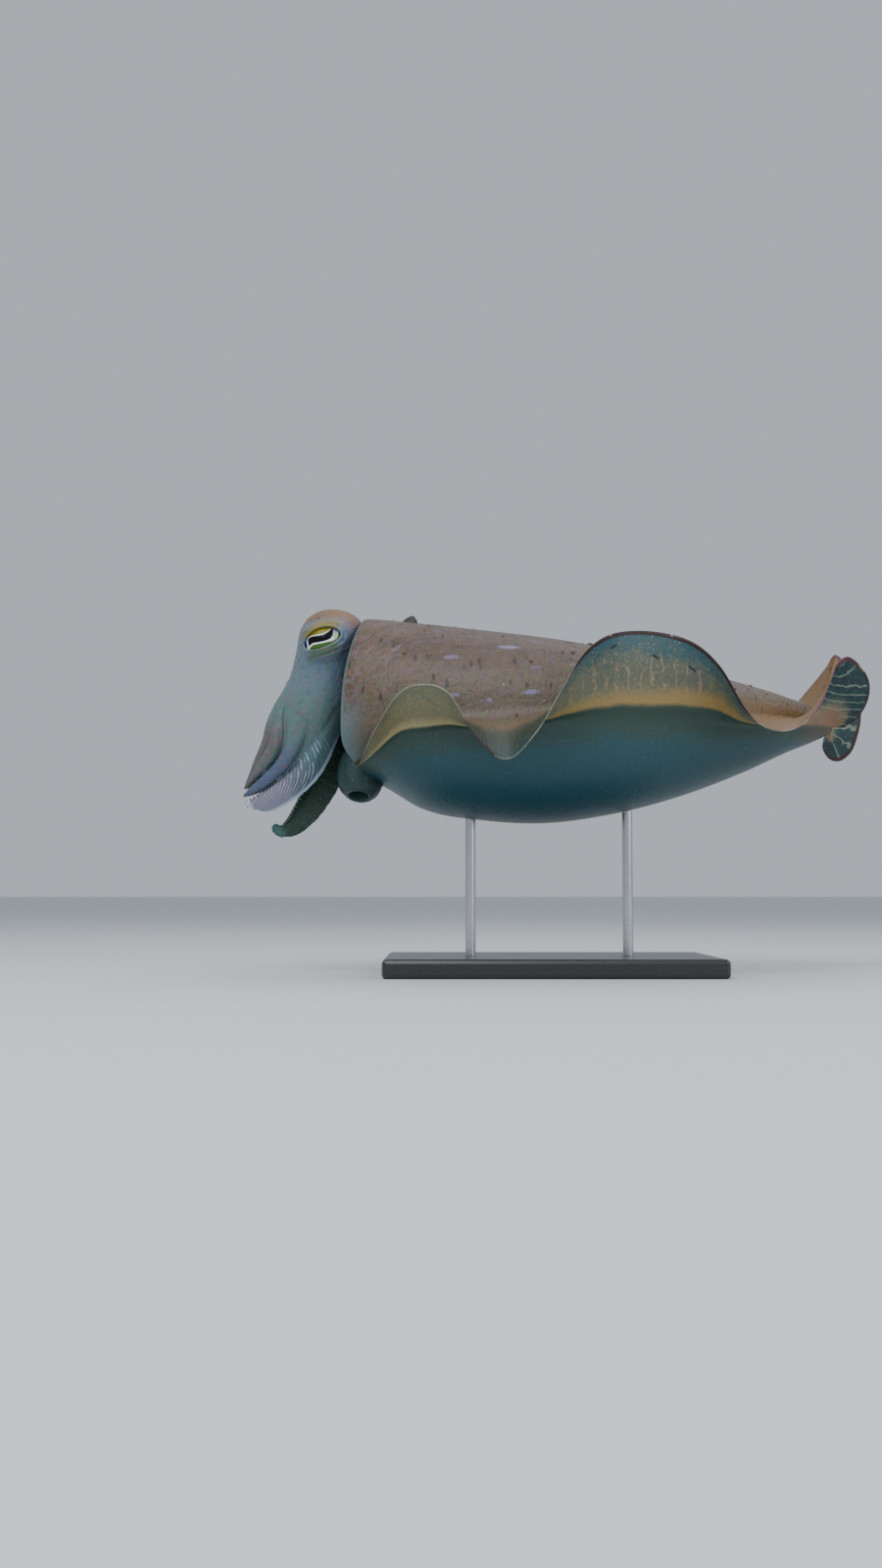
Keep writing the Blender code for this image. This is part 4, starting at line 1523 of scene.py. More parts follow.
    def body(self, paint: Paint, y: Value) -> tuple[Tint, Value]:
        """The mantle and fins.

        Args:
            paint: The finish that is being built.
            y: Millimetres to the animal's right.

        Returns:
            The colour and the relief.
        """
        run, girth, lip = paint.parts("flat")
        share, under, length = paint.parts("fin")
        side, across = ((y / width).least(1.0).most(-1.0) for width in (2, 30))
        at = Reading(paint, run, girth, share, length, side)
        on_fin = share.rise(0.0, 0.02)
        cloud = paint.noise((run / 17, girth / 10, across * 3))
        patch = paint.noise((run / 7, girth / 7, across * 4))
        speck = paint.noise((run / 2.2, girth / 3.6, across * 3), 3, 0.65)
        stroke = paint.noise((run / 1.4, girth / 8.0, across * 4), 2, 0.5, 0.4)
        colour = paint.plain(self.back_dark).under(self.back, cloud.rise(0.36, 0.56))
        shaded = run.rise(-135, -85) * girth.rise(16, 60) * (0.75 + 0.25 * patch)
        tinge = paint.noise((run / 5, girth / 7, across * 4), 2, 0.5)
        low = girth.rise(84, 24)
        marks, chance = paint.cells((run / 6.5, girth / 17 + 40 + run / 120, across * 3))
        dashes = (marks + (speck - 0.5) * 0.25).rise(0.25, 0.13) * girth.rise(-34, -20) * girth.rise(105, 80)
        small, luck = paint.cells((run / 4.0, girth / 6.0 + 9, across * 3))
        pale, fate = paint.cells((run / 7.5, girth / 7.5 + 21, across * 3))
        colour = colour.layered(
            (self.flank, girth.rise(60, 8) * 0.75),
            (self.back_dark, run.rise(-70, 50) * girth.rise(30, 80) * 0.4),
            (self.back_mauve, patch.rise(0.5, 0.38) * 0.7),
            (self.back_warm, patch.rise(0.56, 0.68) * 0.35),
            (self.back_green, tinge.rise(0.5, 0.62) * (0.3 + 0.3 * girth.rise(90, 30))),
            (self.back_olive, speck.rise(0.52, 0.64) * 0.5),
            (self.back_warm, speck.rise(0.43, 0.32) * 0.3),
            (self.back_shade, shaded * 0.45),
            (self.back_warm, stroke.rise(0.56, 0.68) * low * 0.25),
            (self.back_dark, stroke.rise(0.44, 0.34) * low * 0.5),
            (self.dash_red, dashes * chance.band(0.42, 0.7, 0.02) * 0.85),
            (self.dash_green, dashes * chance.rise(0.7, 0.74) * 0.8),
            (self.dash_red, small.rise(0.22, 0.1) * luck.rise(0.6, 0.7) * 0.5),
            (self.rim_pale, pale.rise(0.12, 0.05) * fate.rise(0.72, 0.8) * 0.6),
        )
        ragged = (speck - 0.5) * 2.2
        glow = None
        for spot in self.spots:
            near = (spot.reach(run, girth) + ragged).rise(1.8, -0.2) * spot.strong
            glow = near if glow is None else glow.most(near)
        lip_low = lip.rise(22, 2) * girth.rise(64, 20) * (1 - on_fin)
        colour = colour.layered(
            (self.lilac, glow * 0.85),
            (self.lip, lip_low * 0.75),
            (self.lip, lip.rise(3.0, 1.2) * 0.6),
            # Painted shade: inside the mantle's opening, past the lip, the skin is painted nearly black.
            (self.dark, lip.rise(-2, -9)),
            (self.band_deep, run.rise(110, 165) * girth.rise(20, 2) * 0.6),
        )
        upper = self.upper_fin(at, colour)
        lower = self.belly_colour(at).under(self.lower_fin(at), on_fin)
        colour = colour.under(upper, on_fin).under(lower, under)
        colour = self.rim(at, colour)
        ridges = paint.noise((run / 1.3, share * 2, side), 2, 0.5)
        back_relief = 1.3 * speck + 1.4 * cloud + 0.5 * stroke - 0.3 * dashes + 0.3 * glow
        smooth = share.rise(0.0, 0.3)
        return colour, (1 - smooth) * back_relief * (1 - 0.75 * under) + smooth * 0.8 * ridges

    def upper_fin(self, at: Reading, back: Tint) -> Tint:
        """The fins' upper faces: the back's pattern, an orange band and an olive edge.

        Args:
            at: What the patterns read.
            back: The back's colour.

        Returns:
            The colour.
        """
        paint, run, girth, share, _, side = at
        wave = paint.noise((run / 12, share * 3, side * 4)) - 0.5
        grain = paint.noise((run / 3, girth / 3, side * 6))
        edge = share + wave * 0.34 + (grain - 0.5) * 0.3
        rear = run.rise(105, 150)
        colour = back.under(self.fin_olive, share.rise(0.0, 0.25) * 0.4)
        colour = colour.layered(
            (self.tail_yellow, edge.band(0.2, 0.4, 0.16) * 0.6),
            (self.fin_olive, edge.rise(0.3, 0.62) * 0.85),
            (self.membrane_teal, edge.rise(0.6, 0.95) * 0.3),
            (self.dash_green, grain.rise(0.5, 0.66) * edge.rise(0.3, 0.6) * 0.4),
        )
        tail = paint.plain(self.tail_yellow).under(self.band_deep, grain.rise(0.45, 0.66) * 0.6)
        tail = tail.under(self.back_warm, grain.rise(0.46, 0.34) * 0.4)
        colour = colour.under(tail, rear * edge.rise(-0.1, 0.2) * 0.95)
        dots, chance = paint.cells((run / 5, share * 9 + 5, side * 5))
        colour = colour.under(self.rim_dark, dots.rise(0.24, 0.12) * chance.rise(0.5, 0.6) * 0.6)
        far_lobe = run.rise(204, 209) * side.rise(0.2, 0.6)
        return colour.under(self.lobe(at), far_lobe)

    def lower_fin(self, at: Reading) -> Tint:
        """The fins' under faces: a golden band at the root, and a membrane with pale streaks.

        Args:
            at: What the patterns read.

        Returns:
            The colour.
        """
        paint, run, girth, share, _, side = at
        wave = paint.noise((run / 20, 0.0, side * 4), 2, 0.5) - 0.5
        crest = run.along(((-150, 0), (-40, 0), (0, 0.5), (30, 1), (100, 1), (140, 0.3), (217, 0)))
        mottle = paint.noise((run / 2.6, girth / 2.6, side * 4), 3, 0.65)
        cloud = paint.noise((run / 9, girth / 9, side * 8), 2, 0.6)
        teal = (share + (cloud - 0.5) * 0.5).rise(0.58, 0.95) * (0.25 + 0.75 * crest)
        colour = paint.plain(self.membrane).under(self.membrane_grey, crest * share.rise(0.2, 0.5))
        wobble = paint.noise((run / 9, girth / 8, side * 6), 2, 0.5) - 0.5
        broken = paint.noise((run / 7, girth / 10, side * 2), 2, 0.6)
        lines = ((run + wobble * 9 + share * 5) * 0.74).sine().rise(0.72, 0.96)
        streaks = lines * broken.rise(0.4, 0.54) * share.band(0.34, 0.72, 0.07) * crest
        dots, luck = paint.cells((run / 3.0, girth / 3.0, side * 3))
        colour = colour.layered(
            (self.band_deep, cloud.rise(0.52, 0.7) * (1 - crest) * 0.4),
            (self.membrane_teal, teal * 0.85),
            (self.membrane_teal, mottle.rise(0.5, 0.64) * 0.28),
            (self.streak, mottle.rise(0.46, 0.34) * share.rise(1.0, 0.7) * 0.3),
            (self.streak, streaks * 0.44),
            (self.rim_pale, dots.rise(0.26, 0.12) * luck.rise(0.35, 0.5) * share.rise(0.45, 0.75) * 0.5),
        )
        for mark in self.fin_marks:
            colour = colour.under(
                self.dark, mark.reach(run, share).rise(1.4, 0.6) * side.rise(0.0, -0.5) * 0.8
            )
        low = run.along((
            (-150, 0.02), (-110, 0.09), (-60, 0.14), (0, 0.13), (65, 0.13), (96, 0.17), (126, 0.3),
            (160, 0.1), (217, 0),
        ))
        high = run.along((
            (-150, 0.2), (-117, 0.26), (-60, 0.3), (0, 0.28), (65, 0.26), (96, 0.38), (126, 0.6),
            (160, 0.4), (217, 0.35),
        ))
        over = (share - low + wave * 0.06).rise(-0.03, 0.05)
        band = over * (share - high + wave * 0.1 + (mottle - 0.5) * 0.16).rise(0.12, -0.12)
        colour = colour.under(paint.plain(self.band).under(self.band_pale, run.rise(10, -50)), band * 0.9)
        colour = colour.under(self.lobe(at), run.rise(176, 198))
        # Painted shade in part: below the golden band the fin's root takes the belly's dark olive.
        return paint.plain(self.belly_top).under(colour, over)

    def lobe(self, at: Reading) -> Tint:
        """The lobes at the tail: fine pale lines that fan over teal, from a pinkish-yellow root.

        Args:
            at: What the patterns read.

        Returns:
            The colour.
        """
        paint, run, _, share, _, side = at
        x, _, z = paint.place()
        bend = paint.noise((x / 5, z / 5, side * 6), 2, 0.5) - 0.5
        level = z - (x - 205) * z.rise(212, 246) * 0.7 + bend * 3.2
        near = (level * 1.2).sine().rise(0.82, 1.0)
        far = ((run + bend * 1.2) * 2.7).sine().rise(0.82, 1.0)
        lines = (near * side.rise(0.3, -0.3) + far * side.rise(-0.3, 0.3)) * share.band(0.26, 0.93, 0.07)
        mottle = paint.noise((x / 3.5, run / 3.5, z / 3.5))
        colour = paint.plain(self.lobe_dark).under(self.membrane_teal, mottle.rise(0.45, 0.65) * 0.35)
        colour = colour.under(self.membrane, (share + (mottle - 0.5) * 0.3).rise(0.52, 0.3) * 0.7)
        colour = colour.under(self.back_warm, (share + (mottle - 0.5) * 0.3).rise(0.42, 0.2) * 0.85)
        return colour.under(self.lobe_line, lines * (0.45 + mottle * 0.4))

    def belly_colour(self, at: Reading) -> Tint:
        """The belly, dark with painted shade: olive under the fins, then blue-green that darkens downwards
        into deeper painted shade.

        Args:
            at: What the patterns read.

        Returns:
            The colour.
        """
        paint, run, girth, _, _, side = at
        cloud = paint.noise((run / 26, girth / 13, side * 4))
        speck = paint.noise((run / 3, girth / 3, side * 5))
        depth = girth + (cloud - 0.5) * 18
        # Painted shade: the belly goes from blue-green to nearly black towards its bottom.
        colour = paint.plain(self.belly_shade_bottom).under(self.belly_low, depth.rise(-128, -84))
        colour = colour.layered(
            (self.belly, depth.rise(-100, -30) * run.rise(190, 110)),
            (self.belly_top, depth.rise(-24, -2) * 0.9),
            (self.belly_top, speck.rise(0.52, 0.66) * 0.3),
            (self.cheek, speck.rise(0.44, 0.3) * 0.14),
            # Painted shade: the lower belly darkens towards the tail.
            (self.belly_shade_bottom, run.rise(70, 180) * depth.rise(-8, -34) * 0.6),
        )
        return colour.under(self.tail_root, run.rise(176, 214) * depth.rise(-30, 0) * 0.8)

    def rim(self, at: Reading, colour: Tint) -> Tint:
        """The fins' margin: a dark line that comes and goes, and a fine pale edge.

        Args:
            at: What the patterns read.
            colour: The skin without its margin.

        Returns:
            The colour.
        """
        paint, run, _, share, length, side = at
        ragged = paint.noise((run / 5, 0.0, side * 9), 2, 0.5)
        left = (1 - share) * length + (ragged - 0.5) * 1.2 + 3.0 * share.rise(0.1, 0.0)
        strong = run.along((
            (-150, 0), (-70, 0.1), (-62, 0.9), (-50, 1), (-42, 0.15), (0, 0.1), (16, 0.9), (40, 1),
            (125, 1), (140, 0.35), (172, 0.4), (180, 0.9), (217, 1.0),
        ))
        width = 0.9 + 2.0 * strong
        grown = length.rise(2, 8)
        inside = (left - width).rise(0.45, -0.45) * grown
        shade = paint.plain(self.rim_dark).under(self.rim_purple, run.band(134, 205, 6))
        colour = colour.under(shade, inside * (0.15 + 0.85 * strong.rise(0.15, 0.6)) * 0.95)
        blots, chance = paint.cells((run / 3.4, side * 3, 0.0))
        thin = left.rise(0.6, 0.2) * grown * (0.3 + 0.25 * chance.rise(0.35, 0.5)) * strong.rise(0.7, 0.3)
        specks = blots.rise(0.3, 0.15) * chance.rise(0.6, 0.66) * (left - 1.2).rise(0.5, -0.5)
        return colour.under(self.rim_pale, thin.most(specks * run.rise(0, 20) * grown * 0.7))

    def head(self, paint: Paint, x: Value, y: Value, z: Value) -> tuple[Tint, Value]:
        """The head, arms and funnel.

        Args:
            paint: The finish that is being built.
            x: Millimetres towards the tail.
            y: Millimetres to the animal's right.
            z: Millimetres above the floor.

        Returns:
            The colour and the relief.
        """
        place, turn, _ = paint.parts("crown")
        leaf, free, funnel = paint.parts("parts")
        cloud = paint.noise((x / 9, y / 9, z / 12))
        speck = paint.noise((x / 2.6, y / 2.6, z / 2.6), 3, 0.65)
        drift = (cloud - 0.5) * 22
        low = place + drift
        colour = paint.plain(self.cheek).under(self.web, low.rise(52, 84))
        long, tall = self.eye_place(x, z)
        brow = (long / 15) ** 2 + ((tall - 8.5) / 6) ** 2 + (cloud - 0.5) * 1.6
        below = ((long + 3) / 13) ** 2 + ((tall + 8) / 4) ** 2 + (cloud - 0.5) * 1.6
        lilac = low.rise(100, 130) * turn.band(76, 104, 6) * (1 - leaf)
        patch = paint.noise((x / 4, y / 4, z / 6))
        # Painted shade: a dark line down the groove between the second and third arms.
        groove = (turn - place.along(self.front_groove)).size()
        line = groove.rise(2.6, 0.8) * place.rise(86, 98) * (1 - leaf) * (1 - free)
        colour = colour.layered(
            # Painted shade: the neck between head and mantle is darkened to a dark purple.
            (self.neck, (x + drift * 0.4).rise(-162, -144) * low.rise(110, 70) * 0.85),
            (self.crown_top, (z + drift * 0.5).rise(258, 270)),
            (self.crown_top, turn.rise(44, 16) * low.rise(80, 30) * 0.6),
            (self.crown_red, (x + drift * 0.4).rise(-156, -146) * z.rise(252, 266) * 0.6),
            (self.olive, brow.rise(1.5, 0.4) * 0.9),
            (self.green, below.rise(1.6, 0.4) * 0.7),
            (self.front_arms, low.rise(92, 120) * turn.rise(74, 60) * (1 - leaf) * 0.85),
            (self.arm_lilac, lilac * 0.85),
            (self.pink, patch.rise(0.52, 0.66) * 0.5),
            (self.green, patch.rise(0.46, 0.34) * 0.4),
            (self.back_warm, speck.rise(0.52, 0.66) * 0.3),
            (self.web, speck.rise(0.47, 0.35) * 0.4),
            (self.neck, cloud.rise(0.46, 0.3) * 0.25),
            # Painted shade in the groove between the arms.
            (self.dark, line * 0.6),
            (self.leaf_colour(paint, place, turn, low), leaf * low.rise(72, 100)),
        )
        # Painted shade: the hanging arm is painted a deep green, darker than the other arms.
        free_colour = paint.plain(self.free_arm).under(
            self.free_tip, (x + z * 0.4).rise(-157, -164) * z.rise(128, 116)
        )
        free_colour = free_colour.under(self.web, speck.rise(0.52, 0.68) * 0.25)
        colour = colour.under(free_colour, free)
        # Painted shade: the funnel is painted a deep green, darker than the head's skin.
        funnel_colour = paint.plain(self.funnel).under(self.web, speck.rise(0.54, 0.7) * 0.25)
        colour = colour.under(funnel_colour, funnel * z.rise(205, 185))
        return colour, (1.1 * speck + 1.6 * cloud) * (1 - 0.6 * leaf)

    def eye_place(self, x: Value, z: Value) -> tuple[Value, Value]:
        """Where a point lies on the slanted eye.

        Args:
            x: Millimetres towards the tail.
            z: Millimetres above the floor.

        Returns:
            Millimetres from the eye's middle along its opening and across it.
        """
        slant = math.radians(self.eye.tilt)
        cos, sin = math.cos(slant), math.sin(slant)
        back, up = x - self.eye.centre[0], z - self.eye.centre[2]
        return back * cos + up * sin, up * cos - back * sin

    def leaf_colour(self, paint: Paint, place: Value, turn: Value, low: Value) -> Tint:
        """The broad left ventral arm: pale strokes that fan from its front to a bluish-white edge.

        Args:
            paint: The finish that is being built.
            place: Millimetres along the crown's spine.
            turn: Degrees round it from the front.
            low: The place with a drift that makes borders uneven.

        Returns:
            The colour.
        """
        ground = paint.plain(self.leaf).under(self.leaf_pink, low.rise(112, 142) * 0.8)
        sweep = turn - self.keel_angle
        wobble = paint.noise((place / 6, turn / 10, 1.0), 2, 0.5) - 0.5
        lean = 0.25 + 0.45 * place.rise(100, 150)
        fan = (place - sweep * lean + wobble * 3.2) * 2.05
        broken = paint.noise((fan / 6.28, turn / 16, 3.0), 2, 0.5)
        hatch = place.rise(128, 142)
        strokes = fan.sine().rise(0.35, 0.9) * broken.rise(0.46, 0.56).most(hatch * 0.9) * place.rise(92, 108)
        ground = ground.under(self.leaf_rim, strokes * 0.6)
        ground = ground.under(self.dark, fan.sine().rise(-0.5, -1.0) * place.rise(110, 130) * 0.22)
        edge = turn.rise(145, 150).most(place.rise(164, 168))
        return ground.under(self.leaf_rim, edge * place.rise(76, 110) * 0.8)


@dataclass(frozen=True)
class EyeFinish:
    """The wet eye: a dark wavy pupil with a white outline, in an olive and green iris, with painted lid
    shadow at both ends of its opening.
    """

    olive: Colour = tone(126, 116, 14)
    green: Colour = tone(70, 104, 40)
    white: Colour = tone(236, 243, 250)
    grey: Colour = tone(146, 134, 156)
    patch: Colour = tone(168, 186, 164)
    pupil: Colour = tone(2, 2, 8)
    # The two darkest colours paint the lids' shadow at both ends of the eye; the second also darkens streaks
    # in the iris.
    blue: Colour = tone(22, 34, 86)
    lilac: Colour = tone(130, 140, 200)
    iris_streak_and_lid_shadow: Colour = tone(26, 42, 24)
    span: float = 16.0
    pupil_top: Stations = (
        (-10.8, 0.2), (-10.4, 2.9), (-9.2, 4.0), (-6.5, 3.9), (-3, 2.6), (2, 1.4), (6, 2.4), (8.4, 4.1),
        (10.2, 5.8),
    )
    pupil_bottom: Stations = (
        (-10.8, -1.6), (-9.6, -1.9), (-8.2, -0.9), (-4.8, -2.1), (-1, -3.1), (2.6, -3.5), (5.7, -3.2),
        (7.8, -2.0), (9.2, 0.4), (10.2, 4.2),
    )
    white_top: Stations = (
        (-14.8, -2.4), (-12.8, -1.6), (-11.6, -0.2), (-11.3, 3.2), (-10.2, 4.4), (-6.5, 4.7),
        (-2.4, 3.3), (2.6, 2.1), (6.3, 3.3), (8.7, 5.3), (10.4, 6.0), (12.3, 4.8), (13.2, 2.0),
    )
    white_bottom: Stations = (
        (-14.8, -2.6), (-13.6, -4.8), (-12.4, -4.4), (-10.4, -3.0), (-8.6, -2.3), (-5.5, -2.9),
        (-1.7, -4.0), (2, -4.5), (4.6, -4.6), (7, -4.7), (10.3, -4.0), (11.8, -2.0), (13.2, 1.6),
    )

    def make(self) -> Material:
        """Makes the material."""
        paint = Paint("eye")
        long, tall, _ = paint.parts("eye")
        streaks = paint.noise((long / 2.2, tall / 0.9, 2.0))
        colour = paint.plain(self.green).under(self.olive, (tall + (streaks - 0.5) * 3).rise(-1.5, 2.0))
        colour = colour.layered(
            (self.iris_streak_and_lid_shadow, streaks.rise(0.52, 0.7) * 0.4),
            # Painted shadow of the upper lid at the top rear of the eye.
            (self.iris_streak_and_lid_shadow, ((long - 9) * 0.5 + tall).rise(6.4, 8.4) * 0.85),
            (self.lilac, long.rise(-10.2, -11.0)),
            # Painted shadow of the lid at the eye's front end, dark blue.
            (self.blue, long.rise(-11.6, -12.8)),
        )
        white = self.between(long, tall, self.white_bottom, self.white_top, 0.3)
        rear = paint.plain(self.patch).under(self.grey, tall.rise(0, 3) * 0.9)
        pale = paint.plain(self.white).under(self.grey, tall.rise(0.5, 4.5) * 0.4)
        colour = colour.layered(
            (pale.under(rear, long.rise(7.2, 9.4)), white),
            (self.pupil, self.between(long, tall, self.pupil_bottom, self.pupil_top, 0.2)),
            # Painted shadow of the lid at the eye's rear end.
            (self.iris_streak_and_lid_shadow, long.rise(12.8, 13.6)),
        )
        return paint.finish({
            "Base Color": colour, "Roughness": 0.24, "Coat Weight": 0.14, "Coat Roughness": 0.05,
            "Specular IOR Level": 0.15,
        })

    def between(self, long: Value, tall: Value, bottom: Stations, top: Stations, soft: float) -> Value:
        """1 between two lines drawn across the eye, and 0 outside them.

        Args:
            long: Millimetres along the eye's opening.
            tall: Millimetres across it.
            bottom: The lower line.
            top: The upper line, which ends where the lower one does.
            soft: Half the width of the lines' soft edge.

        Returns:
            The mask.
        """
        low, high = (
            long.along([(place, (level + self.span / 2) / self.span) for place, level in line], "B_SPLINE")
            * self.span - self.span / 2 for line in (bottom, top)
        )
        inside = (tall - low).rise(-soft, soft) * (high - tall).rise(-soft, soft)
        first, last = bottom[0][0], bottom[-1][0]
        return inside * long.rise(first - 0.3, first + 0.3) * long.rise(last + 0.3, last - 0.3)


@dataclass(frozen=True)
class BaseFinish:
    """Black satin paint over fine-grained wood."""

    colour: Colour = tone(34, 34, 36)
    dust: Colour = tone(52, 52, 55)

    def make(self) -> Material:
        """Makes the material."""
        paint = Paint("stand_base")
        x, y, z = paint.place()
        grain = paint.noise((x / 40, y / 1.6, z / 1.6), 4, 0.6)
        dust = paint.noise((x / 3, y / 3, z / 3))
        return paint.finish({
            "Base Color": paint.plain(self.colour).under(self.dust, dust.rise(0.45, 0.75) * 0.4),
            "Roughness": 0.34 + 0.14 * (dust - 0.5), "Normal": paint.bump(grain, 0.2, 0.15),
            "Coat Weight": 0.2, "Coat Roughness": 0.25,
        })


@dataclass(frozen=True)
class RodFinish:
    """Steel brushed round the rod."""

    colour: Colour = tone(196, 197, 200)
    scratch: Colour = tone(160, 161, 165)

    def make(self) -> Material:
        """Makes the material."""
        paint = Paint("stand_rod")
        x, y, z = paint.place()
        brushed = paint.noise((x / 8, y / 8, z / 0.25), 3, 0.7)
        return paint.finish({
            "Base Color": paint.plain(self.colour).under(self.scratch, brushed.rise(0.4, 0.7) * 0.5),
            "Metallic": 1.0, "Roughness": 0.26 + 0.2 * (brushed - 0.5),
            "Normal": paint.bump(brushed, 0.15, 0.05),
        })


@dataclass
class Eyeball:
    """One eyeball, with its finish's directions written at every point."""

    eye: Eye
    side: Side
    columns: int = 72
    rows: int = 60

    def build(self, finish: Material) -> Object:
        """Makes the ball.

        Args:
            finish: The wet eye's material.

        Returns:
            The eyeball.
        """
        middle, long, tall, out = self.eye.frame(self.side)
        turn = around(self.columns)
        reach = np.outer(np.cos(turn), long) + np.outer(np.sin(turn), tall)
        levels = np.linspace(-math.pi / 2, math.pi / 2, self.rows + 2)[1:-1]
        shape = Shape()
        shape.tube([middle + self.eye.radius * (reach * math.cos(a) + out * math.sin(a)) for a in levels])
        ball = shape.piece(f"eyeball_{self.side.name.lower()}")
        gap = points_of(ball.data) - middle
        give_values(ball.data, "eye", np.stack((gap @ long, gap @ tall, gap @ out), 1))
        ball.data.materials.append(finish)
        return ball


@dataclass
class Sown:
    """One small turned shape, repeated by Geometry Nodes on many places of the skin."""

    name: str
    profile: Stations
    sides: int
    radius: float
    height: float
    seed: int
    uneven: float

    def tree(self) -> NodeTree:
        """Builds the node tree, whose inputs are the shape's sizes, its seed and its material."""
        tree = bpy.data.node_groups.new(self.name, "GeometryNodeTree")
        for label, kind, way in (
            ("Geometry", "Geometry", "INPUT"), ("Sides", "Int", "INPUT"), ("Radius", "Float", "INPUT"),
            ("Height", "Float", "INPUT"), ("Unevenness", "Float", "INPUT"), ("Seed", "Int", "INPUT"),
            ("Material", "Material", "INPUT"), ("Geometry", "Geometry", "OUTPUT"),
        ):
            tree.interface.new_socket(label, in_out=way, socket_type=f"NodeSocket{kind}")
        graph = Graph(tree)
        given = graph.node("NodeGroupInput", {}, {}).outputs
        joined = graph.node("GeometryNodeJoinGeometry", {}, {})
        for (low_radius, low), (high_radius, high) in zip(self.profile[:-1], self.profile[1:]):
            cone = graph.node("GeometryNodeMeshCone", {"fill_type": "NONE"}, {
                "Vertices": given["Sides"], "Radius Bottom": min((low, low_radius), (high, high_radius))[1],
                "Radius Top": max((low, low_radius), (high, high_radius))[1], "Depth": abs(high - low),
            }).outputs["Mesh"]
            if high < low:
                cone = graph.node("GeometryNodeFlipFaces", {}, {"Mesh": cone}).outputs[0]
            raised = graph.node(
                "GeometryNodeTransform", {}, {"Geometry": cone, "Translation": (0, 0, min(low, high))}
            )
            tree.links.new(raised.outputs[0], joined.inputs[0])
        whole = graph.node(
            "GeometryNodeMergeByDistance", {}, {"Geometry": joined.outputs[0], "Distance": 0.001}
        )
        whole = graph.node("GeometryNodeSetShadeSmooth", {}, {0: whole.outputs[0]})
        size = Value(graph, self.read(graph, "size", "FLOAT"))
        spin = graph.node(
            "FunctionNodeRandomValue", {"data_type": "FLOAT"}, {3: math.tau, "Seed": given["Seed"]}
        )
        uneven = graph.node("FunctionNodeRandomValue", {"data_type": "FLOAT"}, {
            2: -1.0, "Seed": (Value(graph, given["Seed"]) + 1).socket,
        })
        grown = size * (1 + Value(graph, uneven.outputs[1]) * Value(graph, given["Unevenness"]))
        wide = grown * Value(graph, given["Radius"])
        upright = graph.node("FunctionNodeAlignRotationToVector", {"axis": "Z"}, {
            "Vector": self.read(graph, "out", "FLOAT_VECTOR"),
        })
        turned = graph.node("FunctionNodeRotateRotation", {"rotation_space": "LOCAL"}, {
            0: upright.outputs[0], 1: graph.vector(0.0, 0.0, Value(graph, spin.outputs[1])),
        })
        spread = graph.node("GeometryNodeInstanceOnPoints", {}, {
            "Points": given["Geometry"], "Instance": whole.outputs[0], "Rotation": turned.outputs[0],
            "Scale": graph.vector(wide, wide, grown * Value(graph, given["Height"])),
        })
        real = graph.node("GeometryNodeRealizeInstances", {}, {0: spread.outputs[0]})
        dressed = graph.node(
            "GeometryNodeSetMaterial", {}, {"Geometry": real.outputs[0], "Material": given["Material"]}
        )
        graph.node("NodeGroupOutput", {}, {0: dressed.outputs[0]})
        return tree

    def read(self, graph: Graph, name: str, kind: str) -> NodeSocket:
        """A value that each place carries."""
        return graph.node("GeometryNodeInputNamedAttribute", {"data_type": kind}, {"Name": name}).outputs[0]

    def build(self, places: Array, outs: Array, sizes: Array, finish: Material) -> Object:
        """Repeats the shape and makes one plain mesh of it.

        Args:
            places: Where each stands, in millimetres.
            outs: The direction that each points in.
            sizes: Each one's size, where 1 has the full radius and height.
            finish: The material.

        Returns:
            The finished piece.
        """
        shape = Shape()
        shape.add(places, [])
        holder = placed(bpy.data.objects.new(self.name, shape.mesh(self.name, outwards=False)))
        give_values(holder.data, "out", outs)
        give_values(holder.data, "size", sizes)
        grow = holder.modifiers.new("grow", "NODES")
        grow.node_group = self.tree()
        values = {
            "Sides": self.sides, "Radius": self.radius * MM, "Height": self.height * MM,
            "Unevenness": self.uneven, "Seed": self.seed, "Material": finish,
        }
        for item in grow.node_group.interface.items_tree:
            if item.in_out == "INPUT" and item.name in values:
                grow[item.identifier] = values[item.name]
        mesh = settle(holder)
        log.info("%s: %d places, %d points", self.name, len(places), len(mesh.vertices))
        return holder


@dataclass(frozen=True)
class CupFinish:
    """The suckers: pale greenish cups."""

    cup: Colour = tone(132, 152, 146)
    shade: Colour = tone(78, 98, 96)

    def make(self) -> Material:
        """Makes the material."""
        paint = Paint("suckers")
        x, y, z = paint.place()
        blotch = paint.noise((x / 5, y / 5, z / 5), 2, 0.5)
        return paint.finish({
            "Base Color": paint.plain(self.cup).under(self.shade, blotch.rise(0.4, 0.66)), "Roughness": 0.36,
            "Coat Weight": 0.2, "Coat Roughness": 0.2,
        })


@dataclass(frozen=True)
class PapillaFinish:
    """The papillae: brown like the back or, on the large ones, nearly black, in blotches."""

    name: str = "papillae_small"
    brown: Colour = tone(96, 74, 62)
    dark: Colour = tone(54, 50, 42)
    warm: Colour = tone(120, 90, 68)
    head: Colour = tone(96, 110, 116)

    def make(self) -> Material:
        """Makes the material."""
        paint = Paint(self.name)
        x, y, z = paint.place()
        blotch = paint.noise((x / 3, y / 3, z / 3))
        colour = paint.plain(self.brown).under(self.warm, blotch.rise(0.46, 0.34) * 0.7)
        colour = colour.under(self.dark, blotch.rise(0.5, 0.62) * 0.7)
        colour = colour.under(self.head, x.rise(-146, -154) * z.rise(266, 256) * 0.8)
        return paint.finish({
            "Base Color": colour, "Roughness": 0.5, "Normal": paint.bump(blotch, 0.5, 1.0),
            "Specular IOR Level": 0.35,
        })


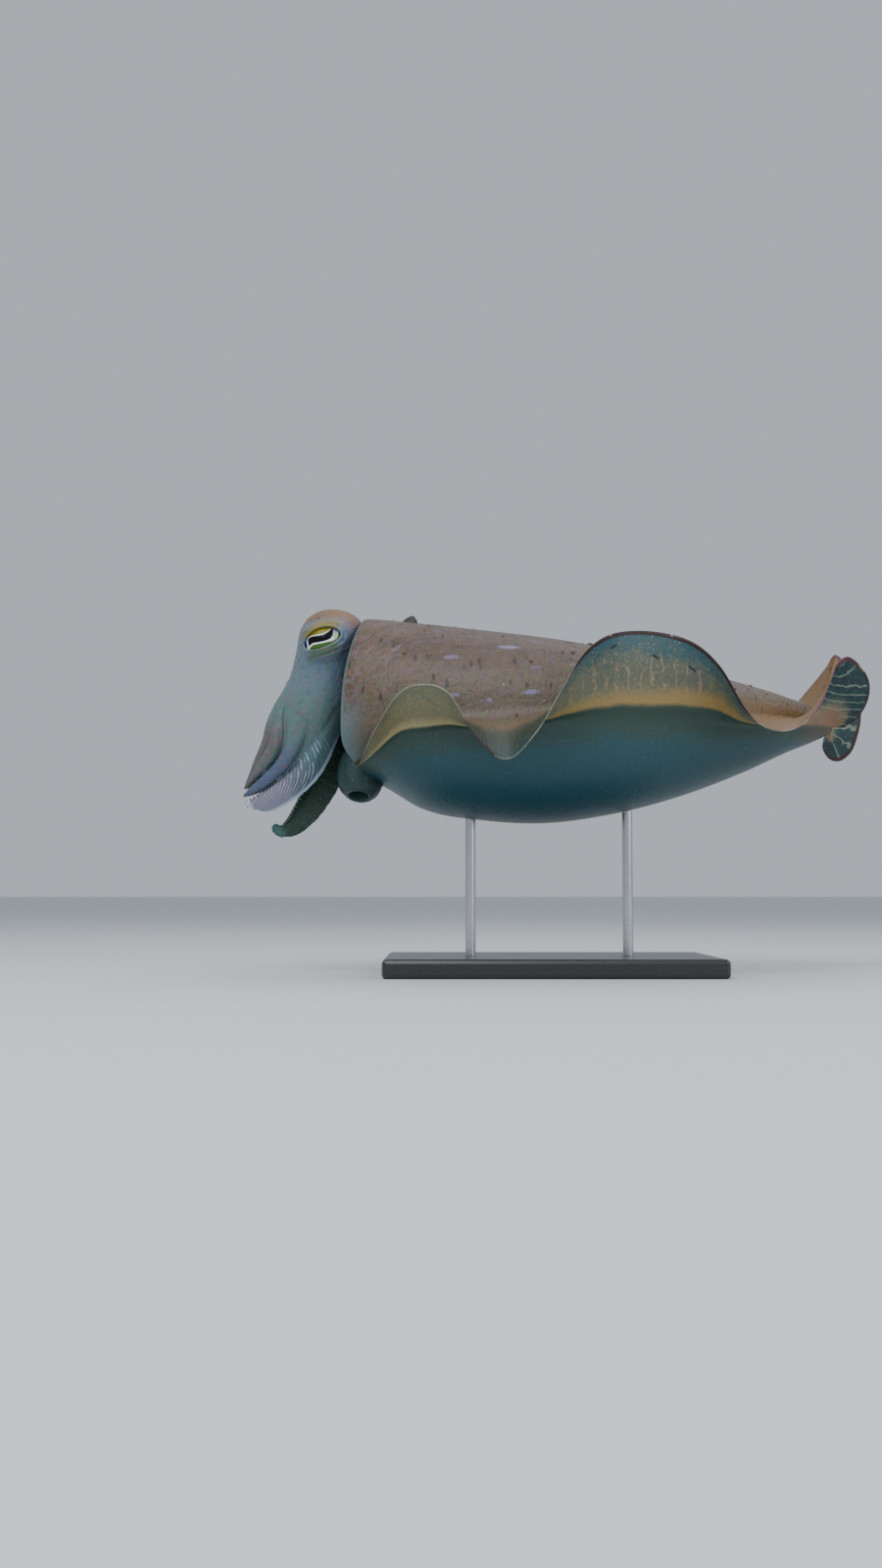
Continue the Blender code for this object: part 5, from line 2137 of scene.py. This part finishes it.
@dataclass
class Suckers:
    """Four rows of suckers on the inner face of every arm."""

    arms: list[CrownArm]
    hanging: HangingArm
    profile: Stations = (
        (0.0, -0.6), (0.6, -0.5), (0.72, 0.35), (1.0, 0.72), (0.84, 1.0), (0.56, 0.8), (0.0, 0.45),
    )
    rows: tuple[float, ...] = (-0.62, -0.22, 0.22, 0.62)
    radius: float = 1.45
    first: float = 84.0
    pitch: float = 3.1

    def build(self, finish: Material) -> Object:
        """Makes all of them as one piece.

        Args:
            finish: Their material.

        Returns:
            The piece.
        """
        found = [self.on_arm(arm, number) for arm in self.arms for number in range(len(self.rows))]
        found += [self.on_hanging(number) for number in range(len(self.rows))]
        places, outs, sizes = (np.concatenate(part) for part in zip(*found))
        return Sown("suckers", self.profile, 8, self.radius, 1.5, 7, 0.08).build(places, outs, sizes, finish)

    def on_arm(self, arm: CrownArm, number: int) -> tuple[Array, ...]:
        """One row on one arm of the crown.

        Args:
            arm: The arm.
            number: The row's number.

        Returns:
            The suckers' places, directions and sizes.
        """
        run = np.arange(self.first + (number % 2) * self.pitch / 2, arm.end - 3, self.pitch)
        places = arm.inner_points(self.rows[number], run)
        middle = arm.crown.point(run, np.full(len(run), 90.0), 0.0 * run, arm.side.value)
        kept = arm.kept(run)
        grown = eased(run, self.first - 6, self.first + 14)
        sizes = 0.25 + 0.75 * kept * grown * np.clip((arm.end + 14 - run) / 50, 0.35, 1)
        return places, unit(middle - places), sizes

    def on_hanging(self, number: int) -> tuple[Array, ...]:
        """One row on the front edge of the arm that hangs free.

        Args:
            number: The row's number.

        Returns:
            The suckers' places, directions and sizes.
        """
        places, outs, sizes = [], [], []
        for share in np.arange(0.2 + (number % 2) * 0.0125, 0.93, 0.025):
            middle, _, broad, flat = self.hanging.frame(share)
            wide, thick = self.hanging.row(share)[3:]
            front = unit(broad if broad[0] < 0 else -broad)
            lean = math.asin(self.rows[number] * 0.85)
            out = math.cos(lean) * front + math.sin(lean) * flat
            places.append(middle + math.cos(lean) * wide * front + math.sin(lean) * thick * flat - 0.2 * out)
            outs.append(out)
            sizes.append(0.75 * (1 - share) + 0.3)
        return np.array(places), np.array(outs), np.array(sizes)


@dataclass
class Papillae:
    """Blunt skin cones: four large ones on the back, and many small ones on back and head."""

    mantle: Mantle
    crown: Crown
    eye: Eye
    skin: Object
    large: tuple[tuple[float, ...], ...] = (
        (-106, 85, 5.5, 6.5), (-96, 104, 4.0, 3.0), (30, 78, 3.0, 2.0), (36, 102, 3.0, 2.0),
    )
    profile: Stations = ((0.0, -0.5), (1.0, -0.35), (0.86, 0.15), (0.6, 0.6), (0.34, 0.92), (0.0, 1.0))
    back_count: int = 110
    head_count: int = 70
    clear_of_eye: float = 19.0

    def big(self, finish: Material) -> Object:
        """Makes the four large ones, each a little uneven.

        Args:
            finish: Their material.

        Returns:
            The piece.
        """
        shape = Shape()
        turn = around(28)
        for number, (x, angle, radius, height) in enumerate(self.large):
            foot = self.mantle.point(np.array([x]), np.array([angle]), Side.LEFT.value)[0]
            inner = self.mantle.point(np.array([x]), np.array([angle]), Side.LEFT.value, 4.0)[0]
            out = unit(foot - inner)
            across = unit(np.cross(out, (1.0, 0, 0)))
            along = np.cross(across, out)
            uneven = 1 + 0.1 * np.sin(3 * turn + number) + 0.06 * np.sin(7 * turn + 2 * number)
            rings = []
            for level in np.linspace(0, 1, 12):
                wide = radius * uneven * (1.12 - 0.12 * level) * math.cos(level * math.pi / 2) ** 0.75
                ring = np.outer(np.cos(turn) * wide, across) + np.outer(np.sin(turn) * wide, along)
                middle = foot + (level * 1.06 - 0.12) * height * out + 0.3 * height * level**2 * along
                rings.append(middle + ring)
            shape.tube(rings[:-1])
        cones = shape.piece("papillae_large")
        cones.data.materials.append(finish)
        return cones

    def small(self, finish: Material) -> Object:
        """Makes the small ones, scattered with a fixed seed and set on the skin.

        Args:
            finish: Their material.

        Returns:
            The piece.
        """
        draw = np.random.default_rng(11)
        x = draw.uniform(-136, 185, self.back_count)
        angle = draw.uniform(28, 152, self.back_count)
        back = self.mantle.point(x, angle, Side.LEFT.value)
        place = draw.uniform(8, 112, self.head_count)
        turn = draw.uniform(0, 75, self.head_count)
        sides = np.where(draw.random(self.head_count) < 0.5, -1.0, 1.0)
        top = self.crown.point(place, turn, 0.98, sides)
        sizes = np.concatenate((draw.uniform(0.5, 1.0, len(back)) ** 1.5, draw.uniform(0.3, 0.6, len(top))))
        bpy.context.view_layer.update()
        feet, outs, kept = [], [], []
        centres = [self.eye.frame(side)[0] for side in Side]
        for aim, size in zip(np.concatenate((back, top)), sizes):
            found, foot, out, _ = self.skin.closest_point_on_mesh(Vector(aim * MM))
            foot = np.array(foot) / MM
            if found and min(np.linalg.norm(foot - centre) for centre in centres) > self.clear_of_eye:
                feet.append(foot - 0.3 * size * np.array(out))
                outs.append(np.array(out))
                kept.append(size)
        return Sown("papillae_small", self.profile, 8, 1.9, 1.5, 3, 0.25).build(
            np.array(feet), np.array(outs), np.array(kept), finish
        )


@dataclass
class Studio:
    """The pale floor, soft lights and the camera at the photograph's angle."""

    camera_place: tuple[float, float, float] = (-82.5, -1200.0, 61.0)
    camera_pitch: float = 4.0
    lens: float = 36.0
    lamps: tuple[tuple, ...] = (
        ("key", (-0.5, -1.1, 1.5), 1.2, 24.0), ("top", (0.3, 0.3, 1.6), 1.6, 9.0),
        ("fill", (1.2, -1.0, 0.7), 1.2, 7.0),
    )
    aim: tuple[float, float, float] = (-0.02, 0.0, 0.17)
    floor_reach: float = 30000.0

    def build(self) -> None:
        """Makes the floor, lights, background and camera."""
        self.floor()
        self.lights()
        self.camera()

    def floor(self) -> None:
        """A wide, plain, pale floor."""
        shape = Shape()
        wide = self.floor_reach
        corners = np.array([(-wide, -wide, 0), (wide, -wide, 0), (wide, wide, 0), (-wide, wide, 0)])
        shape.add(corners, [(0, 1, 2, 3)])
        floor = placed(bpy.data.objects.new("floor", shape.mesh("floor", outwards=False)))
        paint = bpy.data.materials.new("floor")
        paint.use_nodes = True
        shader = paint.node_tree.nodes["Principled BSDF"]
        shader.inputs["Base Color"].default_value = (0.62, 0.64, 0.66, 1)
        shader.inputs["Roughness"].default_value = 0.7
        floor.data.materials.append(paint)

    def lights(self) -> None:
        """Soft lamps over the animal and an even pale sky."""
        world = bpy.data.worlds.new("studio")
        world.use_nodes = True
        world.node_tree.nodes["Background"].inputs["Color"].default_value = (0.80, 0.87, 0.95, 1)
        world.node_tree.nodes["Background"].inputs["Strength"].default_value = 0.6
        bpy.context.scene.world = world
        for name, place, size, power in self.lamps:
            lamp = bpy.data.lights.new(name, "AREA")
            lamp.energy, lamp.size = power, size
            made = placed(bpy.data.objects.new(name, lamp))
            made.location = place
            towards = Vector(self.aim) - Vector(place)
            made.rotation_euler = towards.to_track_quat("-Z", "Y").to_euler()

    def camera(self) -> None:
        """The camera: level with the animal's belly, looking a little up."""
        lens = bpy.data.cameras.new("camera")
        lens.lens, lens.sensor_width = self.lens, 36.0
        camera = placed(bpy.data.objects.new("camera", lens))
        camera.location = Vector(self.camera_place) * MM
        camera.rotation_euler = (math.radians(90 + self.camera_pitch), 0, 0)
        bpy.context.scene.camera = camera


FLESH = [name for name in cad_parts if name.split("_")[0] in ("mantle", "head", "funnel", "arm", "fin")]


def main() -> None:
    """Builds every piece in order and reports each."""
    mantle, crown, eye = Mantle(), Crown(), Eye()
    fins = {side: Fin(side, rays, mantle) for side, rays in zip(Side, (LEFT_RAYS, RIGHT_RAYS))}
    arms = [
        CrownArm(crown, number, side, *sizes)
        for side in Side for number, sizes in ARMS.items() if (number, side) != (4, Side.RIGHT)
    ]
    hanging = HangingArm(crown)
    skin = Skin(mantle, fins, crown, arms, hanging, Funnel(), eye).build()
    skin.data.materials.append(SkinFinish().make())
    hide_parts(*FLESH)
    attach(skin, "root")
    log.info("skin: %d points", len(skin.data.vertices))
    eye_finish = EyeFinish().make()
    for side in Side:
        ball = Eyeball(eye, side).build(eye_finish)
        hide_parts(f"eye_{side.name.lower()}")
        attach(ball, "root")
        log.info("%s: %d points", ball.name, len(ball.data.vertices))
    papillae = Papillae(mantle, crown, eye, skin)
    large = PapillaFinish("papillae_large", tone(52, 50, 46), tone(24, 26, 26), tone(84, 62, 48))
    cones = papillae.big(large.make()), papillae.small(PapillaFinish().make())
    cups = Suckers(arms, hanging).build(CupFinish().make())
    for piece, slot in ((cups, "arm_skin"), (cones[0], "mantle_skin"), (cones[1], "mantle_skin")):
        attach(piece, "root")
        log.info("%s: %d points", piece.name, len(piece.data.vertices))
    for finish, names in (
        (BaseFinish(), ["stand_base"]), (RodFinish(), ["stand_rod_front", "stand_rod_rear"]),
    ):
        material = finish.make()
        for name in names:
            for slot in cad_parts[name].material_slots:
                slot.material = material
    log.info("stand dressed")
    Studio().build()
    log.info("studio")


if __name__ == "__main__":
    main()
